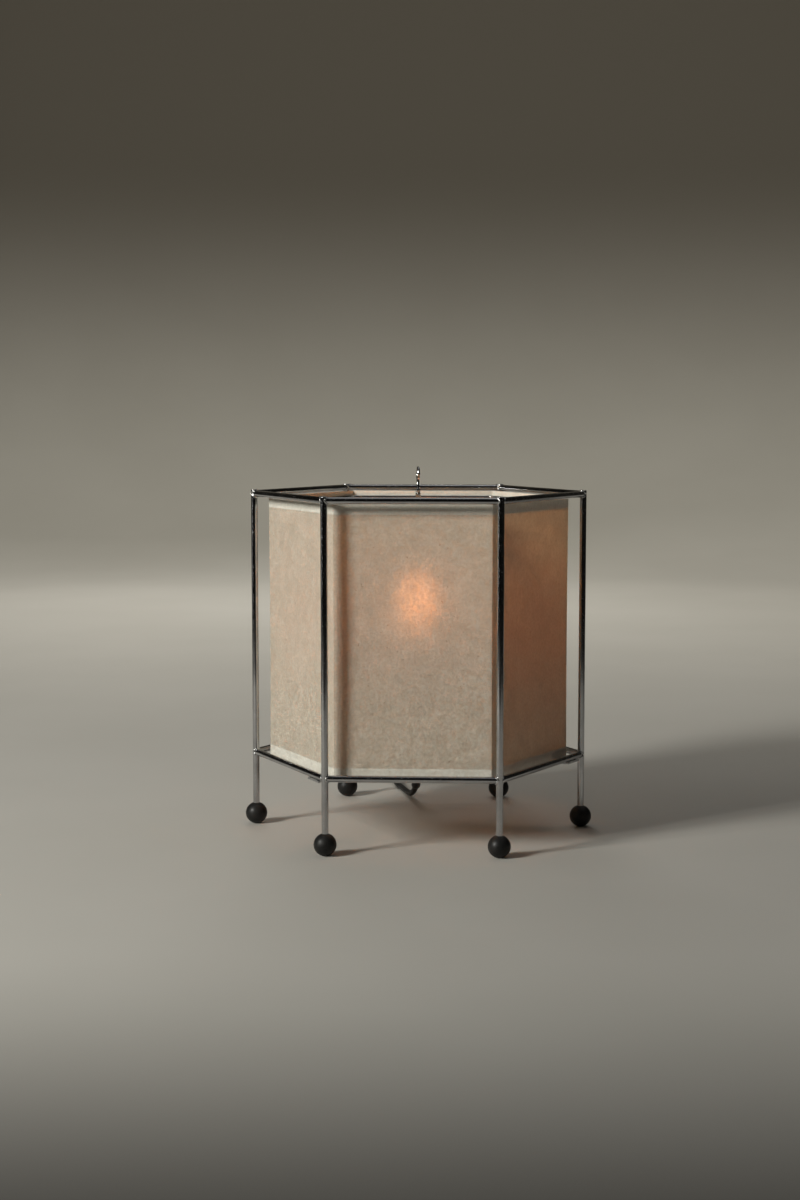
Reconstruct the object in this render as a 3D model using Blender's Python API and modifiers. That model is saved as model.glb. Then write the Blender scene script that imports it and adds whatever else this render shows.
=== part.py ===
"""Rice paper table lamp: a welded hexagonal rod frame on ball feet, a paper shade that lifts out by its eye,
a screw-in bulb on a stem in the middle, and a mains cord with an inline switch. Metres, +Z up, origin on the
surface that the lamp stands on, under its axis."""

import math

import bmesh
import bpy
from mathutils import Matrix, Vector
from mathutils.geometry import interpolate_bezier

# Frame: six legs on a regular hexagon, as wide as given from corner to corner, rails between, balls under
FRAME_WIDTH = 0.300
ROD_DIAMETER = 0.006
ROD_END_CHAMFER = 0.0006
TOP_RAIL_HEIGHT = 0.306
BOTTOM_RAIL_HEIGHT = 0.067
LEG_TOP_PROUD = 0.0004
COPE_NOSE = 0.0007
FOOT_DIAMETER = 0.020
FOOT_FLAT_DIAMETER = 0.006
FOOT_SOCKET_DEPTH = 0.0095

# Fits between pieces
SEAT_GAP = 0.0003
SLIDE_GAP = 0.0005

# Carrier: three flat arms under every second lower rail, meeting at a hub
ARM_WIDTH = 0.020
ARM_THICKNESS = 0.0015
ARM_TURN = math.radians(23)
ARM_END_PROUD = 0.0025
ARM_NUT_CLEARANCE = 0.003
ARM_LUG_WIDTH = 0.008
ARM_LUG_HEIGHT = 0.005
HUB_DIAMETER = 0.044
HUB_THICKNESS = 0.002

# Shade: folded paper on two wire rings, with a crossbar and an eye to lift it by
SHADE_INSET = 0.0132
SHADE_TOP_DROP = 0.0025
PAPER_THICKNESS = 0.0006
HEM_HEIGHT = 0.010
LAP_WIDTH = 0.012
LAP_SINK = 0.00012
RING_WIRE = 0.003
RING_BEND = 0.005
UPPER_RING_DROP = 0.006
CROSSBAR_DIAMETER = 0.004
CROSSBAR_END_CHAMFER = 0.0012
FERRULE_DIAMETER = 0.0046
FERRULE_HEIGHT = 0.0105
EYE_WIRE = 0.0026
EYE_DIAMETER = 0.013
EYE_NECK = 0.0075
EYE_TURN = math.radians(8)
EYE_SHANK_INSIDE = 0.009
EYE_LOOP_START = math.radians(-42)
EYE_LOOP_END = math.radians(245)

# Stem, lampholder and bulb, stacked on the hub
STEM_DIAMETER = 0.010
STEM_BORE = 0.007
STEM_BELOW_HUB = 0.0145
STEM_IN_HOLDER = 0.010
STEM_SLEEVE_DIAMETER = 0.014
STEM_SLEEVE_LENGTH = 0.0434
NUT_ACROSS_FLATS = 0.014
NUT_HEIGHT = 0.004
HOLDER_DIAMETER = 0.040
HOLDER_WALL = 0.0016
HOLDER_CAP_HEIGHT = 0.022
HOLDER_CAP_SKIRT = 0.011
HOLDER_NECK_DIAMETER = 0.020
HOLDER_RIM_HEIGHT = 0.057
HOLDER_SPIGOT = 0.008
CORE_HEIGHT = 0.011
CORE_ABOVE_STEM = 0.003
SHELL_WALL = 0.0007
SHELL_HEIGHT = 0.0297
CONTACT_HEAD_DIAMETER = 0.008
CONTACT_HEAD_HEIGHT = 0.0015
CONTACT_CROWN_DIAMETER = 0.0056
CONTACT_PIN_DIAMETER = 0.003
CONTACT_SPRING_ROOM = 0.0029
CONTACT_TRAVEL = 0.0012
BULB_DIAMETER = 0.035
BULB_LENGTH = 0.098
BULB_BODY_HEIGHT = 0.066
BULB_CAP_DIAMETER = 0.026
BULB_CAP_WALL = 0.0006
BULB_CAP_HEIGHT = 0.0227
BULB_CAP_TAPER = 0.0024
BULB_TIP_DIAMETER = 0.0092
BULB_TIP_HEIGHT = 0.0014
BULB_TIP_CROWN_DIAMETER = 0.0055
BULB_INSULATOR_HEIGHT = 0.0027
BULB_GLASS_WALL = 0.001
BULB_GLASS_IN_CAP = 0.0113
BULB_BODY_END = math.radians(-38)
FILAMENT_WIRE = 0.0010
FILAMENT_SPAN = 0.022
FILAMENT_POST_SPACING = 0.012
FILAMENT_PEAK_HEIGHT = 0.0055
FILAMENT_PEAKS = 3
INNER_FLEX_DIAMETER = 0.005

# Elbow outlet and strain relief under the hub, pointing back
ELBOW_DIAMETER = 0.016
ELBOW_BASE_DIAMETER = 0.0096
ELBOW_TAPER = 0.0032
ELBOW_FLOOR = 0.003
NOZZLE_DIAMETER = 0.0115
NOZZLE_BORE = 0.0062
NOZZLE_REACH = 0.016
RELIEF_START_DIAMETER = 0.0105
RELIEF_END_DIAMETER = 0.0086
RELIEF_DROOP = 0.0018

# Cord, with the part that is put away coiled behind the lamp
CORD_DIAMETER = 0.0056
COIL_CENTRE = (0.033, 0.268)
COIL_MID_RADIUS = 0.03275
COIL_STEP = 0.0061
COIL_START = math.radians(120)
COIL_END = math.radians(195)
COIL_WHOLE_TURNS = 7
COIL_POINTS_PER_TURN = 24
CLIMB_TURNS = 0.5
STRAIGHT_RUN = 0.017
TIE_WIDTH = 0.008
TIE_THICKNESS = 0.001
TIE_ANGLE = math.radians(315)
FLOOR_GAP = 0.0001

# Inline switch and plug
SWITCH_CENTRE = (-0.0305, 0.236)
SWITCH_SIZE = (0.022, 0.056, 0.015)
SWITCH_CORNER = 0.007
SWITCH_EDGE = 0.0012
SWITCH_ENTRY_HEIGHT = 0.0064
SWITCH_STRAIGHT = 0.009
ROCKER_SIZE = (0.0094, 0.0184)
ROCKER_TILT = math.radians(8)
ROCKER_PIVOT_DEPTH = 0.0032
ROCKER_BELOW_PIVOT = 0.0018
ROCKER_END_SLOPE = 0.002
ROCKER_DISH = 0.0016
ROCKER_POCKET_DEPTH = 0.0052
ROCKER_CLEARANCE = 0.0004
ROCKER_AXLE_DIAMETER = 0.0024
ROCKER_AXLE_REACH = 0.0012
PLUG_REAR = (-0.073, 0.277)
PLUG_LENGTH = 0.042
PLUG_FACE_WIDTH = 0.0353
PLUG_REAR_WIDTH = 0.013
PLUG_THICKNESS = 0.0137
PLUG_NECK_LENGTH = 0.015
PLUG_SHOULDER_LENGTH = 0.0135
PLUG_EDGE = 0.0018
PIN_DIAMETER = 0.004
PIN_LENGTH = 0.019
PIN_SPACING = 0.0186
PIN_IN_BODY = 0.006
PIN_CHAMFER = 0.0008

# Facets
ROD_SIDES = 16
FOOT_STEPS = 24
FOOT_ARC_STEPS = 12
GLASS_STEPS = 20
BULB_ARC_STEPS = 12
NECK_POINTS = 6
EYE_LOOP_STEPS = 20
EYE_BEND_POINTS = 5
ROUND_STEPS = 24
SMALL_STEPS = 16
MERGE = 0.00001
SMOOTH_ANGLE = math.radians(35)
BEVEL_ANGLE = math.radians(50)

# Sizes that follow from those above
COS_30 = math.cos(math.radians(30))
ROD_RADIUS = ROD_DIAMETER / 2
FRAME_SIDE = FRAME_WIDTH / 2
FRAME_APOTHEM = FRAME_SIDE * COS_30
FOOT_CENTRE = math.sqrt((FOOT_DIAMETER / 2) ** 2 - (FOOT_FLAT_DIAMETER / 2) ** 2)
FOOT_TOP = FOOT_CENTRE + FOOT_DIAMETER / 2
FOOT_SOCKET_FLOOR = FOOT_TOP - FOOT_SOCKET_DEPTH
LEG_TOP = TOP_RAIL_HEIGHT + ROD_RADIUS + LEG_TOP_PROUD
ARM_TOP = BOTTOM_RAIL_HEIGHT - ROD_RADIUS - SEAT_GAP
HUB_BOTTOM = ARM_TOP + SEAT_GAP
HUB_TOP = HUB_BOTTOM + HUB_THICKNESS
STEM_RADIUS = STEM_DIAMETER / 2
STEM_HOLE = STEM_RADIUS + SEAT_GAP
STEM_BOTTOM = HUB_BOTTOM - STEM_BELOW_HUB
NUT_TOP = HUB_BOTTOM - SEAT_GAP
NUT_BOTTOM = NUT_TOP - NUT_HEIGHT
NUT_CORNER = NUT_ACROSS_FLATS / COS_30 / 2
STEM_SLEEVE_BOTTOM = HUB_TOP + SEAT_GAP
STEM_SLEEVE_TOP = STEM_SLEEVE_BOTTOM + STEM_SLEEVE_LENGTH
HOLDER_BOTTOM = STEM_SLEEVE_TOP + SEAT_GAP
STEM_TOP = HOLDER_BOTTOM + STEM_IN_HOLDER
HOLDER_RADIUS = HOLDER_DIAMETER / 2
CAP_RIM = HOLDER_BOTTOM + HOLDER_CAP_HEIGHT
CAP_INNER = HOLDER_RADIUS - HOLDER_WALL
SPIGOT_RADIUS = CAP_INNER - SEAT_GAP
SPIGOT_INNER = SPIGOT_RADIUS - HOLDER_WALL
HOLDER_RIM = HOLDER_BOTTOM + HOLDER_RIM_HEIGHT
CORE_BOTTOM = STEM_TOP + CORE_ABOVE_STEM
CORE_TOP = CORE_BOTTOM + CORE_HEIGHT
CORE_RADIUS = SPIGOT_INNER - SEAT_GAP
CONTACT_PIN_BOTTOM = CORE_BOTTOM + CONTACT_TRAVEL + SLIDE_GAP
CONTACT_TOP = CORE_TOP + SEAT_GAP + CONTACT_SPRING_ROOM + CONTACT_HEAD_HEIGHT
BULB_BOTTOM = CONTACT_TOP + SEAT_GAP
BULB_TOP = BULB_BOTTOM + BULB_LENGTH
BULB_CENTRE = BULB_TOP - BULB_BODY_HEIGHT / 2
INSULATOR_BOTTOM = BULB_BOTTOM + BULB_TIP_HEIGHT + SEAT_GAP
INSULATOR_TOP = INSULATOR_BOTTOM + BULB_INSULATOR_HEIGHT
BULB_CAP_BOTTOM = INSULATOR_TOP - BULB_CAP_WALL
BULB_CAP_TOP = BULB_CAP_BOTTOM + BULB_CAP_HEIGHT
BULB_CAP_RADIUS = BULB_CAP_DIAMETER / 2
BULB_NECK_RADIUS = BULB_CAP_RADIUS - BULB_CAP_WALL - SEAT_GAP
SHELL_BOTTOM = CORE_TOP + SEAT_GAP
SHELL_INNER = BULB_CAP_RADIUS + SLIDE_GAP
SHADE_CORNER = FRAME_SIDE - SHADE_INSET
SHADE_BOTTOM = ARM_TOP + SEAT_GAP
SHADE_TOP = TOP_RAIL_HEIGHT - SHADE_TOP_DROP
PAPER_STEP = PAPER_THICKNESS / COS_30
HEM_CORNER = SHADE_CORNER - 2 * PAPER_STEP
RING_CORNER = HEM_CORNER - (SEAT_GAP + RING_WIRE / 2) / COS_30
RING_INSIDE = RING_CORNER * COS_30 - RING_WIRE / 2
UPPER_RING_HEIGHT = SHADE_TOP - UPPER_RING_DROP
LOWER_RING_HEIGHT = SHADE_BOTTOM + RING_WIRE / 2
FERRULE_BOTTOM = UPPER_RING_HEIGHT + CROSSBAR_DIAMETER / 2 + SEAT_GAP
FERRULE_TOP = FERRULE_BOTTOM + FERRULE_HEIGHT
NOZZLE_HEIGHT = NUT_BOTTOM - SEAT_GAP - NOZZLE_DIAMETER
ELBOW_TOP = NUT_BOTTOM - SEAT_GAP
ELBOW_BOTTOM = NOZZLE_HEIGHT - NOZZLE_BORE / 2 - ELBOW_FLOOR
CORD_RADIUS = CORD_DIAMETER / 2
CORD_LYING = CORD_RADIUS + FLOOR_GAP
COIL_TURNS = COIL_WHOLE_TURNS - (COIL_END - COIL_START) / math.tau
COIL_LOW = FLOOR_GAP + TIE_THICKNESS + SEAT_GAP + CORD_RADIUS
COIL_HIGH = COIL_LOW + COIL_STEP
COIL_TURNS_A_LAYER = COIL_TURNS / 2
COIL_OUTER = COIL_MID_RADIUS + COIL_STEP * COIL_TURNS_A_LAYER / 2
COIL_INNER = COIL_MID_RADIUS - COIL_STEP * COIL_TURNS_A_LAYER / 2
SWITCH_FRONT = SWITCH_CENTRE[1] - SWITCH_SIZE[1] / 2
SWITCH_BACK = SWITCH_CENTRE[1] + SWITCH_SIZE[1] / 2
PLUG_FACE = PLUG_REAR[1] - PLUG_LENGTH
PLUG_HEIGHT = FLOOR_GAP + PLUG_THICKNESS / 2

CORNERS = ("right", "back_right", "back_left", "left", "front_left", "front_right")
SIDES = ("back_right", "back", "back_left", "front_left", "front", "front_right")
ARM_SIDES = ("back", "front_left", "front_right")

# Cord routes through points chosen by eye: out of the strain relief, down, and along the surface
RELIEF_ROUTE = (
    (0.0, NOZZLE_REACH + SEAT_GAP, NOZZLE_HEIGHT),
    (0.0, 0.028, NOZZLE_HEIGHT),
    (-0.0001, 0.040, NOZZLE_HEIGHT - RELIEF_DROOP / 3),
    (-0.0003, 0.052, NOZZLE_HEIGHT - RELIEF_DROOP),
    (-0.0007, 0.064, 0.0437),
    (-0.0015, 0.076, 0.0398),
    (-0.0028, 0.087, 0.0330),
    (-0.0044, 0.097, 0.0240),
    (-0.0063, 0.106, 0.0148),
)
LEAD_ROUTE = (
    (-0.00635, 0.10624, 0.01455),
    (-0.00679, 0.10832, 0.01243),
    (-0.0090, 0.1155, 0.0074),
    (-0.0125, 0.127, 0.0037),
    (-0.0165, 0.140, CORD_LYING),
    (-0.0210, 0.155, CORD_LYING),
    (-0.0255, 0.170, CORD_LYING),
    (-0.0285, 0.181, 0.0031),
    (-0.0301, 0.190, 0.0046),
    (SWITCH_CENTRE[0], SWITCH_FRONT - SWITCH_STRAIGHT, SWITCH_ENTRY_HEIGHT),
    (SWITCH_CENTRE[0], SWITCH_FRONT - SEAT_GAP, SWITCH_ENTRY_HEIGHT),
)
LINK_MIDDLE = (
    (-0.0283, 0.2800, 0.0056),
    (-0.0215, 0.2875, 0.0045),
)
TAIL_MIDDLE = (
    (-0.0182, 0.288, 0.0108),
    (-0.0280, 0.2985, 0.0093),
    (-0.0430, 0.3065, 0.0062),
    (-0.0590, 0.3050, 0.0050),
    (-0.0695, 0.2950, 0.0061),
)
ROUTE_STEP = 1.5 * CORD_DIAMETER
BEZIER_SAMPLES = 40


def clear_scene():
    for obj in list(bpy.data.objects):
        bpy.data.objects.remove(obj, do_unlink=True)


def new_collection(name):
    collection = bpy.data.collections.new(name)
    bpy.context.scene.collection.children.link(collection)
    return collection


def new_finish(name, colour, roughness, metallic=0.0):
    finish = bpy.data.materials.new(name)
    finish.use_nodes = True
    shader = finish.node_tree.nodes["Principled BSDF"]
    shader.inputs["Base Color"].default_value = (*colour, 1.0)
    shader.inputs["Roughness"].default_value = roughness
    shader.inputs["Metallic"].default_value = metallic
    finish.diffuse_color = (*colour, 1.0)
    return finish


clear_scene()
LAMP = new_collection("rice_paper_table_lamp")
HELPERS = new_collection("cutters")
CHROME = new_finish("chrome", (0.62, 0.63, 0.64), 0.12, 1.0)
ZINC = new_finish("zinc_plate", (0.55, 0.55, 0.56), 0.35, 1.0)
BRASS = new_finish("brass", (0.70, 0.52, 0.24), 0.30, 1.0)
PAPER = new_finish("rice_paper", (0.80, 0.74, 0.62), 0.90)
BLACK = new_finish("black_lacquer", (0.012, 0.012, 0.012), 0.45)
PVC = new_finish("black_pvc", (0.016, 0.016, 0.016), 0.50)
PHENOLIC = new_finish("black_phenolic", (0.020, 0.018, 0.016), 0.35)
CERAMIC = new_finish("ceramic", (0.85, 0.83, 0.78), 0.30)
OPAL = new_finish("opal_glass", (0.95, 0.90, 0.80), 0.20)
TUNGSTEN = new_finish("tungsten", (0.35, 0.33, 0.30), 0.40, 1.0)


def place(obj, finish):
    """Links an object to the lamp, with its finish."""
    LAMP.objects.link(obj)
    if finish:
        obj.data.materials.append(finish)
    return obj


def helper(obj):
    """Turns an object into a cutter that isn't part of the lamp."""
    LAMP.objects.unlink(obj)
    HELPERS.objects.link(obj)
    obj.hide_render = True
    obj.display_type = "WIRE"
    return obj


def turned(name, profile, finish, steps=ROUND_STEPS, closed=False):
    """A profile of (radius, height) points turned about Z, its outer side running top to bottom."""
    count = len(profile)
    edges = [(i, i + 1) for i in range(count - 1)]
    if closed:
        edges.append((count - 1, 0))
    mesh = bpy.data.meshes.new(name)
    mesh.from_pydata([(radius, 0.0, height) for radius, height in profile], edges, [])
    obj = place(bpy.data.objects.new(name, mesh), finish)
    screw = obj.modifiers.new("turn", "SCREW")
    screw.steps = steps
    screw.render_steps = steps
    screw.use_merge_vertices = True
    screw.merge_threshold = MERGE
    return obj


def rod(name, diameter, length, finish, sides=ROD_SIDES):
    """A plain round bar along Z, centred on its origin."""
    shape = bmesh.new()
    radius = diameter / 2
    bmesh.ops.create_cone(shape, cap_ends=True, segments=sides, radius1=radius, radius2=radius, depth=length)
    return place(bpy.data.objects.new(name, smooth_mesh(name, shape)), finish)


def box(name, size, finish=None):
    """A block of the given size, centred on its origin."""
    shape = bmesh.new()
    bmesh.ops.create_cube(shape, size=1.0, matrix=Matrix.Diagonal((*size, 1.0)))
    return place(bpy.data.objects.new(name, smooth_mesh(name, shape)), finish)


def smooth_mesh(name, shape):
    mesh = bpy.data.meshes.new(name)
    shape.to_mesh(mesh)
    shape.free()
    mesh.shade_smooth()
    mesh.set_sharp_from_angle(angle=SMOOTH_ANGLE)
    return mesh


def tube(name, points, diameter, finish, resolution=2, cyclic=False, radii=None):
    """A round wire or cord through the points, with filled ends unless it is a closed ring."""
    curve = bpy.data.curves.new(name, "CURVE")
    curve.dimensions = "3D"
    curve.bevel_depth = diameter / 2
    curve.bevel_resolution = resolution
    curve.use_fill_caps = not cyclic
    spline = curve.splines.new("POLY")
    spline.points.add(len(points) - 1)
    for index, point in enumerate(points):
        spline.points[index].co = (*point, 1.0)
        if radii:
            spline.points[index].radius = radii[index]
    spline.use_cyclic_u = cyclic
    spline.use_smooth = True
    return place(bpy.data.objects.new(name, curve), finish)


def plate(name, outlines, thickness, finish):
    """Flat outlines, an inner one being a hole, filled and made a mesh of the given thickness about z = 0."""
    curve = bpy.data.curves.new(name, "CURVE")
    curve.dimensions = "2D"
    curve.fill_mode = "BOTH"
    curve.extrude = thickness / 2
    for outline in outlines:
        spline = curve.splines.new("POLY")
        spline.points.add(len(outline) - 1)
        for point, (x, y) in zip(spline.points, outline):
            point.co = (x, y, 0.0, 1.0)
        spline.use_cyclic_u = True
    drawn = place(bpy.data.objects.new(name + "_outline", curve), None)
    bpy.context.view_layer.update()
    mesh = bpy.data.meshes.new_from_object(drawn.evaluated_get(bpy.context.evaluated_depsgraph_get()))
    bpy.data.objects.remove(drawn, do_unlink=True)
    shape = bmesh.new()
    shape.from_mesh(mesh)
    bpy.data.meshes.remove(mesh)
    bmesh.ops.remove_doubles(shape, verts=shape.verts, dist=MERGE)
    bmesh.ops.recalc_face_normals(shape, faces=shape.faces)
    return place(bpy.data.objects.new(name, smooth_mesh(name, shape)), finish)


def cut(obj, other, operation="DIFFERENCE"):
    boolean = obj.modifiers.new(other.name, "BOOLEAN")
    boolean.operation = operation
    boolean.object = other


def soften(obj, width, segments=2):
    bevel = obj.modifiers.new("soft_edges", "BEVEL")
    bevel.width = width
    bevel.segments = segments
    bevel.limit_method = "ANGLE"
    bevel.angle_limit = BEVEL_ANGLE


def polar(radius, angle, height=0.0):
    return Vector((radius * math.cos(angle), radius * math.sin(angle), height))


def ring_outline(radius, count=ROUND_STEPS):
    return [polar(radius, math.tau * i / count)[:2] for i in range(count)]


def rounded_outline(low, high, corner, steps=4):
    """A rectangle from its low to its high corner, with round corners."""
    outline = []
    centres = (
        (high[0] - corner, high[1] - corner),
        (low[0] + corner, high[1] - corner),
        (low[0] + corner, low[1] + corner),
        (high[0] - corner, low[1] + corner),
    )
    for quarter, centre in enumerate(centres):
        for step in range(steps + 1):
            angle = math.radians(90) * (quarter + step / steps)
            x, y, _ = polar(corner, angle)
            outline.append((centre[0] + x, centre[1] + y))
    return outline


def arc(centre, radius, start, end, steps, rise=None):
    """Points (radius, height) on an arc in a turned profile, or on an oval one with a rise of its own."""
    rise = radius if rise is None else rise
    points = []
    for step in range(steps + 1):
        angle = start + (end - start) * step / steps
        points.append((centre[0] + radius * math.cos(angle), centre[1] + rise * math.sin(angle)))
    return points


def smooth_route(points, spacing):
    """Evenly spaced points on a smooth curve through the route's own points."""
    spots = [Vector(point) for point in points]
    ahead = [spots[1] - spots[0]]
    for before, after in zip(spots, spots[2:]):
        ahead.append((after - before) / 2)
    ahead.append(spots[-1] - spots[-2])
    fine = [spots[0]]
    for index in range(len(spots) - 1):
        reach = (spots[index + 1] - spots[index]).length / 3
        handle = spots[index] + ahead[index].normalized() * reach
        back = spots[index + 1] - ahead[index + 1].normalized() * reach
        fine += interpolate_bezier(spots[index], handle, back, spots[index + 1], BEZIER_SAMPLES)[1:]
    total = length_of(fine)
    count = max(2, round(total / spacing))
    picked = [fine[0]]
    walked = 0.0
    for before, after in zip(fine, fine[1:]):
        step = (after - before).length
        while len(picked) < count and walked + step >= total * len(picked) / count:
            share = (total * len(picked) / count - walked) / step
            picked.append(before.lerp(after, share))
        walked += step
    return [*picked, fine[-1]]


def length_of(points):
    return sum((after - before).length for before, after in zip(points, points[1:]))


def cope_outline(corner):
    """The outline that a rail's end is coped to: round the leg, with a nose that parts two rails."""
    inward = math.atan2(-corner.y, -corner.x)
    outline = []
    for index in range(ROD_SIDES):
        nose = 0.0 if index else COPE_NOSE
        outline.append(polar(ROD_RADIUS + SEAT_GAP + nose, inward + math.tau * index / ROD_SIDES)[:2])
    return outline


def make_frame():
    corners = [polar(FRAME_SIDE, math.radians(60) * i) for i in range(6)]
    leg_foot = FOOT_SOCKET_FLOOR + SEAT_GAP
    chamfer = ROD_END_CHAMFER
    leg_profile = [
        (0.0, LEG_TOP),
        (ROD_RADIUS - chamfer, LEG_TOP),
        (ROD_RADIUS, LEG_TOP - chamfer),
        (ROD_RADIUS, leg_foot + chamfer),
        (ROD_RADIUS - chamfer, leg_foot),
        (0.0, leg_foot),
    ]
    socket = ROD_RADIUS + SEAT_GAP
    radius = FOOT_DIAMETER / 2
    mouth = math.acos(socket / radius)
    flat = -math.acos(FOOT_FLAT_DIAMETER / FOOT_DIAMETER)
    foot_profile = [(0.0, FOOT_SOCKET_FLOOR), (socket, FOOT_SOCKET_FLOOR)]
    foot_profile += arc((0.0, FOOT_CENTRE), radius, mouth, flat, FOOT_ARC_STEPS)
    foot_profile.append((0.0, 0.0))
    leg_cutters = []
    for corner, spot in zip(CORNERS, corners):
        leg = turned("leg_" + corner, leg_profile, CHROME, ROD_SIDES)
        leg.location = spot
        foot = turned("ball_foot_" + corner, foot_profile, BLACK, FOOT_STEPS)
        foot.location = spot
        cutter = helper(plate("cope_" + corner, [cope_outline(spot)], LEG_TOP, None))
        cutter.location = spot + Vector((0.0, 0.0, BOTTOM_RAIL_HEIGHT + LEG_TOP / 2 - ROD_DIAMETER))
        leg_cutters.append(cutter)
    for index, side in enumerate(SIDES):
        start = corners[index]
        end = corners[(index + 1) % 6]
        lie_along = (end - start).to_track_quat("Z", "Y").to_euler()
        for level, height in (("top", TOP_RAIL_HEIGHT), ("bottom", BOTTOM_RAIL_HEIGHT)):
            rail = rod(f"{level}_rail_{side}", ROD_DIAMETER, FRAME_SIDE, CHROME)
            rail.location = (start + end) / 2 + Vector((0.0, 0.0, height))
            rail.rotation_euler = lie_along
            cut(rail, leg_cutters[index])
            cut(rail, leg_cutters[(index + 1) % 6])


def make_carrier():
    half = ARM_WIDTH / 2
    inner = NUT_CORNER + ARM_NUT_CLEARANCE
    reach = (FRAME_APOTHEM + ARM_END_PROUD) / math.cos(ARM_TURN)
    skew = half * math.tan(ARM_TURN)
    outline = [(inner, -half), (reach - skew, -half), (reach + skew, half), (inner, half)]
    lug_out = (RING_INSIDE - SLIDE_GAP - ARM_THICKNESS / 2) / math.cos(ARM_TURN)
    lug_height = ARM_LUG_HEIGHT + ARM_THICKNESS / 2
    for side in ARM_SIDES:
        arm = plate("spider_arm_" + side, [outline], ARM_THICKNESS, ZINC)
        middle = math.radians(30 + 60 * SIDES.index(side))
        arm.rotation_euler.z = middle + ARM_TURN
        arm.location.z = ARM_TOP - ARM_THICKNESS / 2
        lug = helper(box("arm_lug_" + side, (ARM_THICKNESS, ARM_LUG_WIDTH, lug_height)))
        lug.location = polar(lug_out, middle + ARM_TURN, ARM_TOP + ARM_LUG_HEIGHT - lug_height / 2)
        lug.rotation_euler.z = middle
        cut(arm, lug, "UNION")
    hub = plate("spider_hub", [ring_outline(HUB_DIAMETER / 2), ring_outline(STEM_HOLE)], HUB_THICKNESS, ZINC)
    hub.location.z = HUB_BOTTOM + HUB_THICKNESS / 2
    stem_profile = [
        (STEM_RADIUS, STEM_TOP),
        (STEM_RADIUS, STEM_BOTTOM),
        (STEM_BORE / 2, STEM_BOTTOM),
        (STEM_BORE / 2, STEM_TOP),
    ]
    turned("stem", stem_profile, ZINC, closed=True)
    sleeve_profile = [
        (STEM_SLEEVE_DIAMETER / 2, STEM_SLEEVE_TOP),
        (STEM_SLEEVE_DIAMETER / 2, STEM_SLEEVE_BOTTOM),
        (STEM_HOLE, STEM_SLEEVE_BOTTOM),
        (STEM_HOLE, STEM_SLEEVE_TOP),
    ]
    turned("stem_sleeve", sleeve_profile, CHROME, closed=True)
    nut_outline = ring_outline(NUT_CORNER, 6)
    nut = plate("stem_nut", [nut_outline, ring_outline(STEM_HOLE, SMALL_STEPS)], NUT_HEIGHT, ZINC)
    nut.location.z = NUT_BOTTOM + NUT_HEIGHT / 2


def hexagon_wire(corner, bend, height, steps=3):
    """A closed hexagon of bent wire: an arc at each corner, straight between."""
    points = []
    for index in range(6):
        middle = math.radians(60) * index
        centre = polar(corner - bend / COS_30, middle, height)
        for step in range(steps + 1):
            points.append(centre + polar(bend, middle + math.radians(60) * (step / steps - 0.5)))
    return points


def make_shade():
    wall = SHADE_CORNER - PAPER_STEP
    profile = [
        (SHADE_CORNER, SHADE_TOP),
        (SHADE_CORNER, SHADE_BOTTOM),
        (HEM_CORNER, SHADE_BOTTOM),
        (HEM_CORNER, SHADE_BOTTOM + HEM_HEIGHT),
        (wall, SHADE_BOTTOM + HEM_HEIGHT),
        (wall, SHADE_TOP - HEM_HEIGHT),
        (HEM_CORNER, SHADE_TOP - HEM_HEIGHT),
        (HEM_CORNER, SHADE_TOP),
    ]
    paper = turned("paper_shade", profile, PAPER, steps=6, closed=True)
    lap_height = SHADE_TOP - SHADE_BOTTOM - 2 * HEM_HEIGHT - 2 * SLIDE_GAP
    lap = helper(box("corner_lap", (LAP_WIDTH, PAPER_THICKNESS, lap_height)))
    lap_corner = math.radians(120)
    along = lap_corner + math.radians(120)
    inward = lap_corner + math.radians(210)
    start = polar(wall, lap_corner, (SHADE_TOP + SHADE_BOTTOM) / 2)
    lap_depth = PAPER_THICKNESS / 2 - LAP_SINK
    lap.location = start + polar(SLIDE_GAP + LAP_WIDTH / 2, along) + polar(lap_depth, inward)
    lap.rotation_euler.z = along
    cut(paper, lap, "UNION")
    for name, height in (("shade_upper_ring", UPPER_RING_HEIGHT), ("shade_lower_ring", LOWER_RING_HEIGHT)):
        tube(name, hexagon_wire(RING_CORNER, RING_BEND, height), RING_WIRE, CHROME, cyclic=True)
    corner_inside = RING_CORNER - RING_BEND * (1 / COS_30 - 1) - RING_WIRE / 2
    crossbar = rod("shade_crossbar", CROSSBAR_DIAMETER, 2 * (corner_inside - SLIDE_GAP), CHROME)
    soften(crossbar, CROSSBAR_END_CHAMFER, 1)
    crossbar.rotation_euler.y = math.radians(90)
    crossbar.location.z = UPPER_RING_HEIGHT
    bore = EYE_WIRE / 2 + SEAT_GAP
    ferrule_profile = [
        (bore, FERRULE_TOP),
        (FERRULE_DIAMETER / 2, FERRULE_TOP),
        (FERRULE_DIAMETER / 2, FERRULE_BOTTOM),
        (bore, FERRULE_BOTTOM),
    ]
    turned("eye_ferrule", ferrule_profile, CHROME, SMALL_STEPS, closed=True)
    eye = tube("lifting_eye", eye_points(), EYE_WIRE, CHROME)
    eye.rotation_euler.z = EYE_TURN


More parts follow.
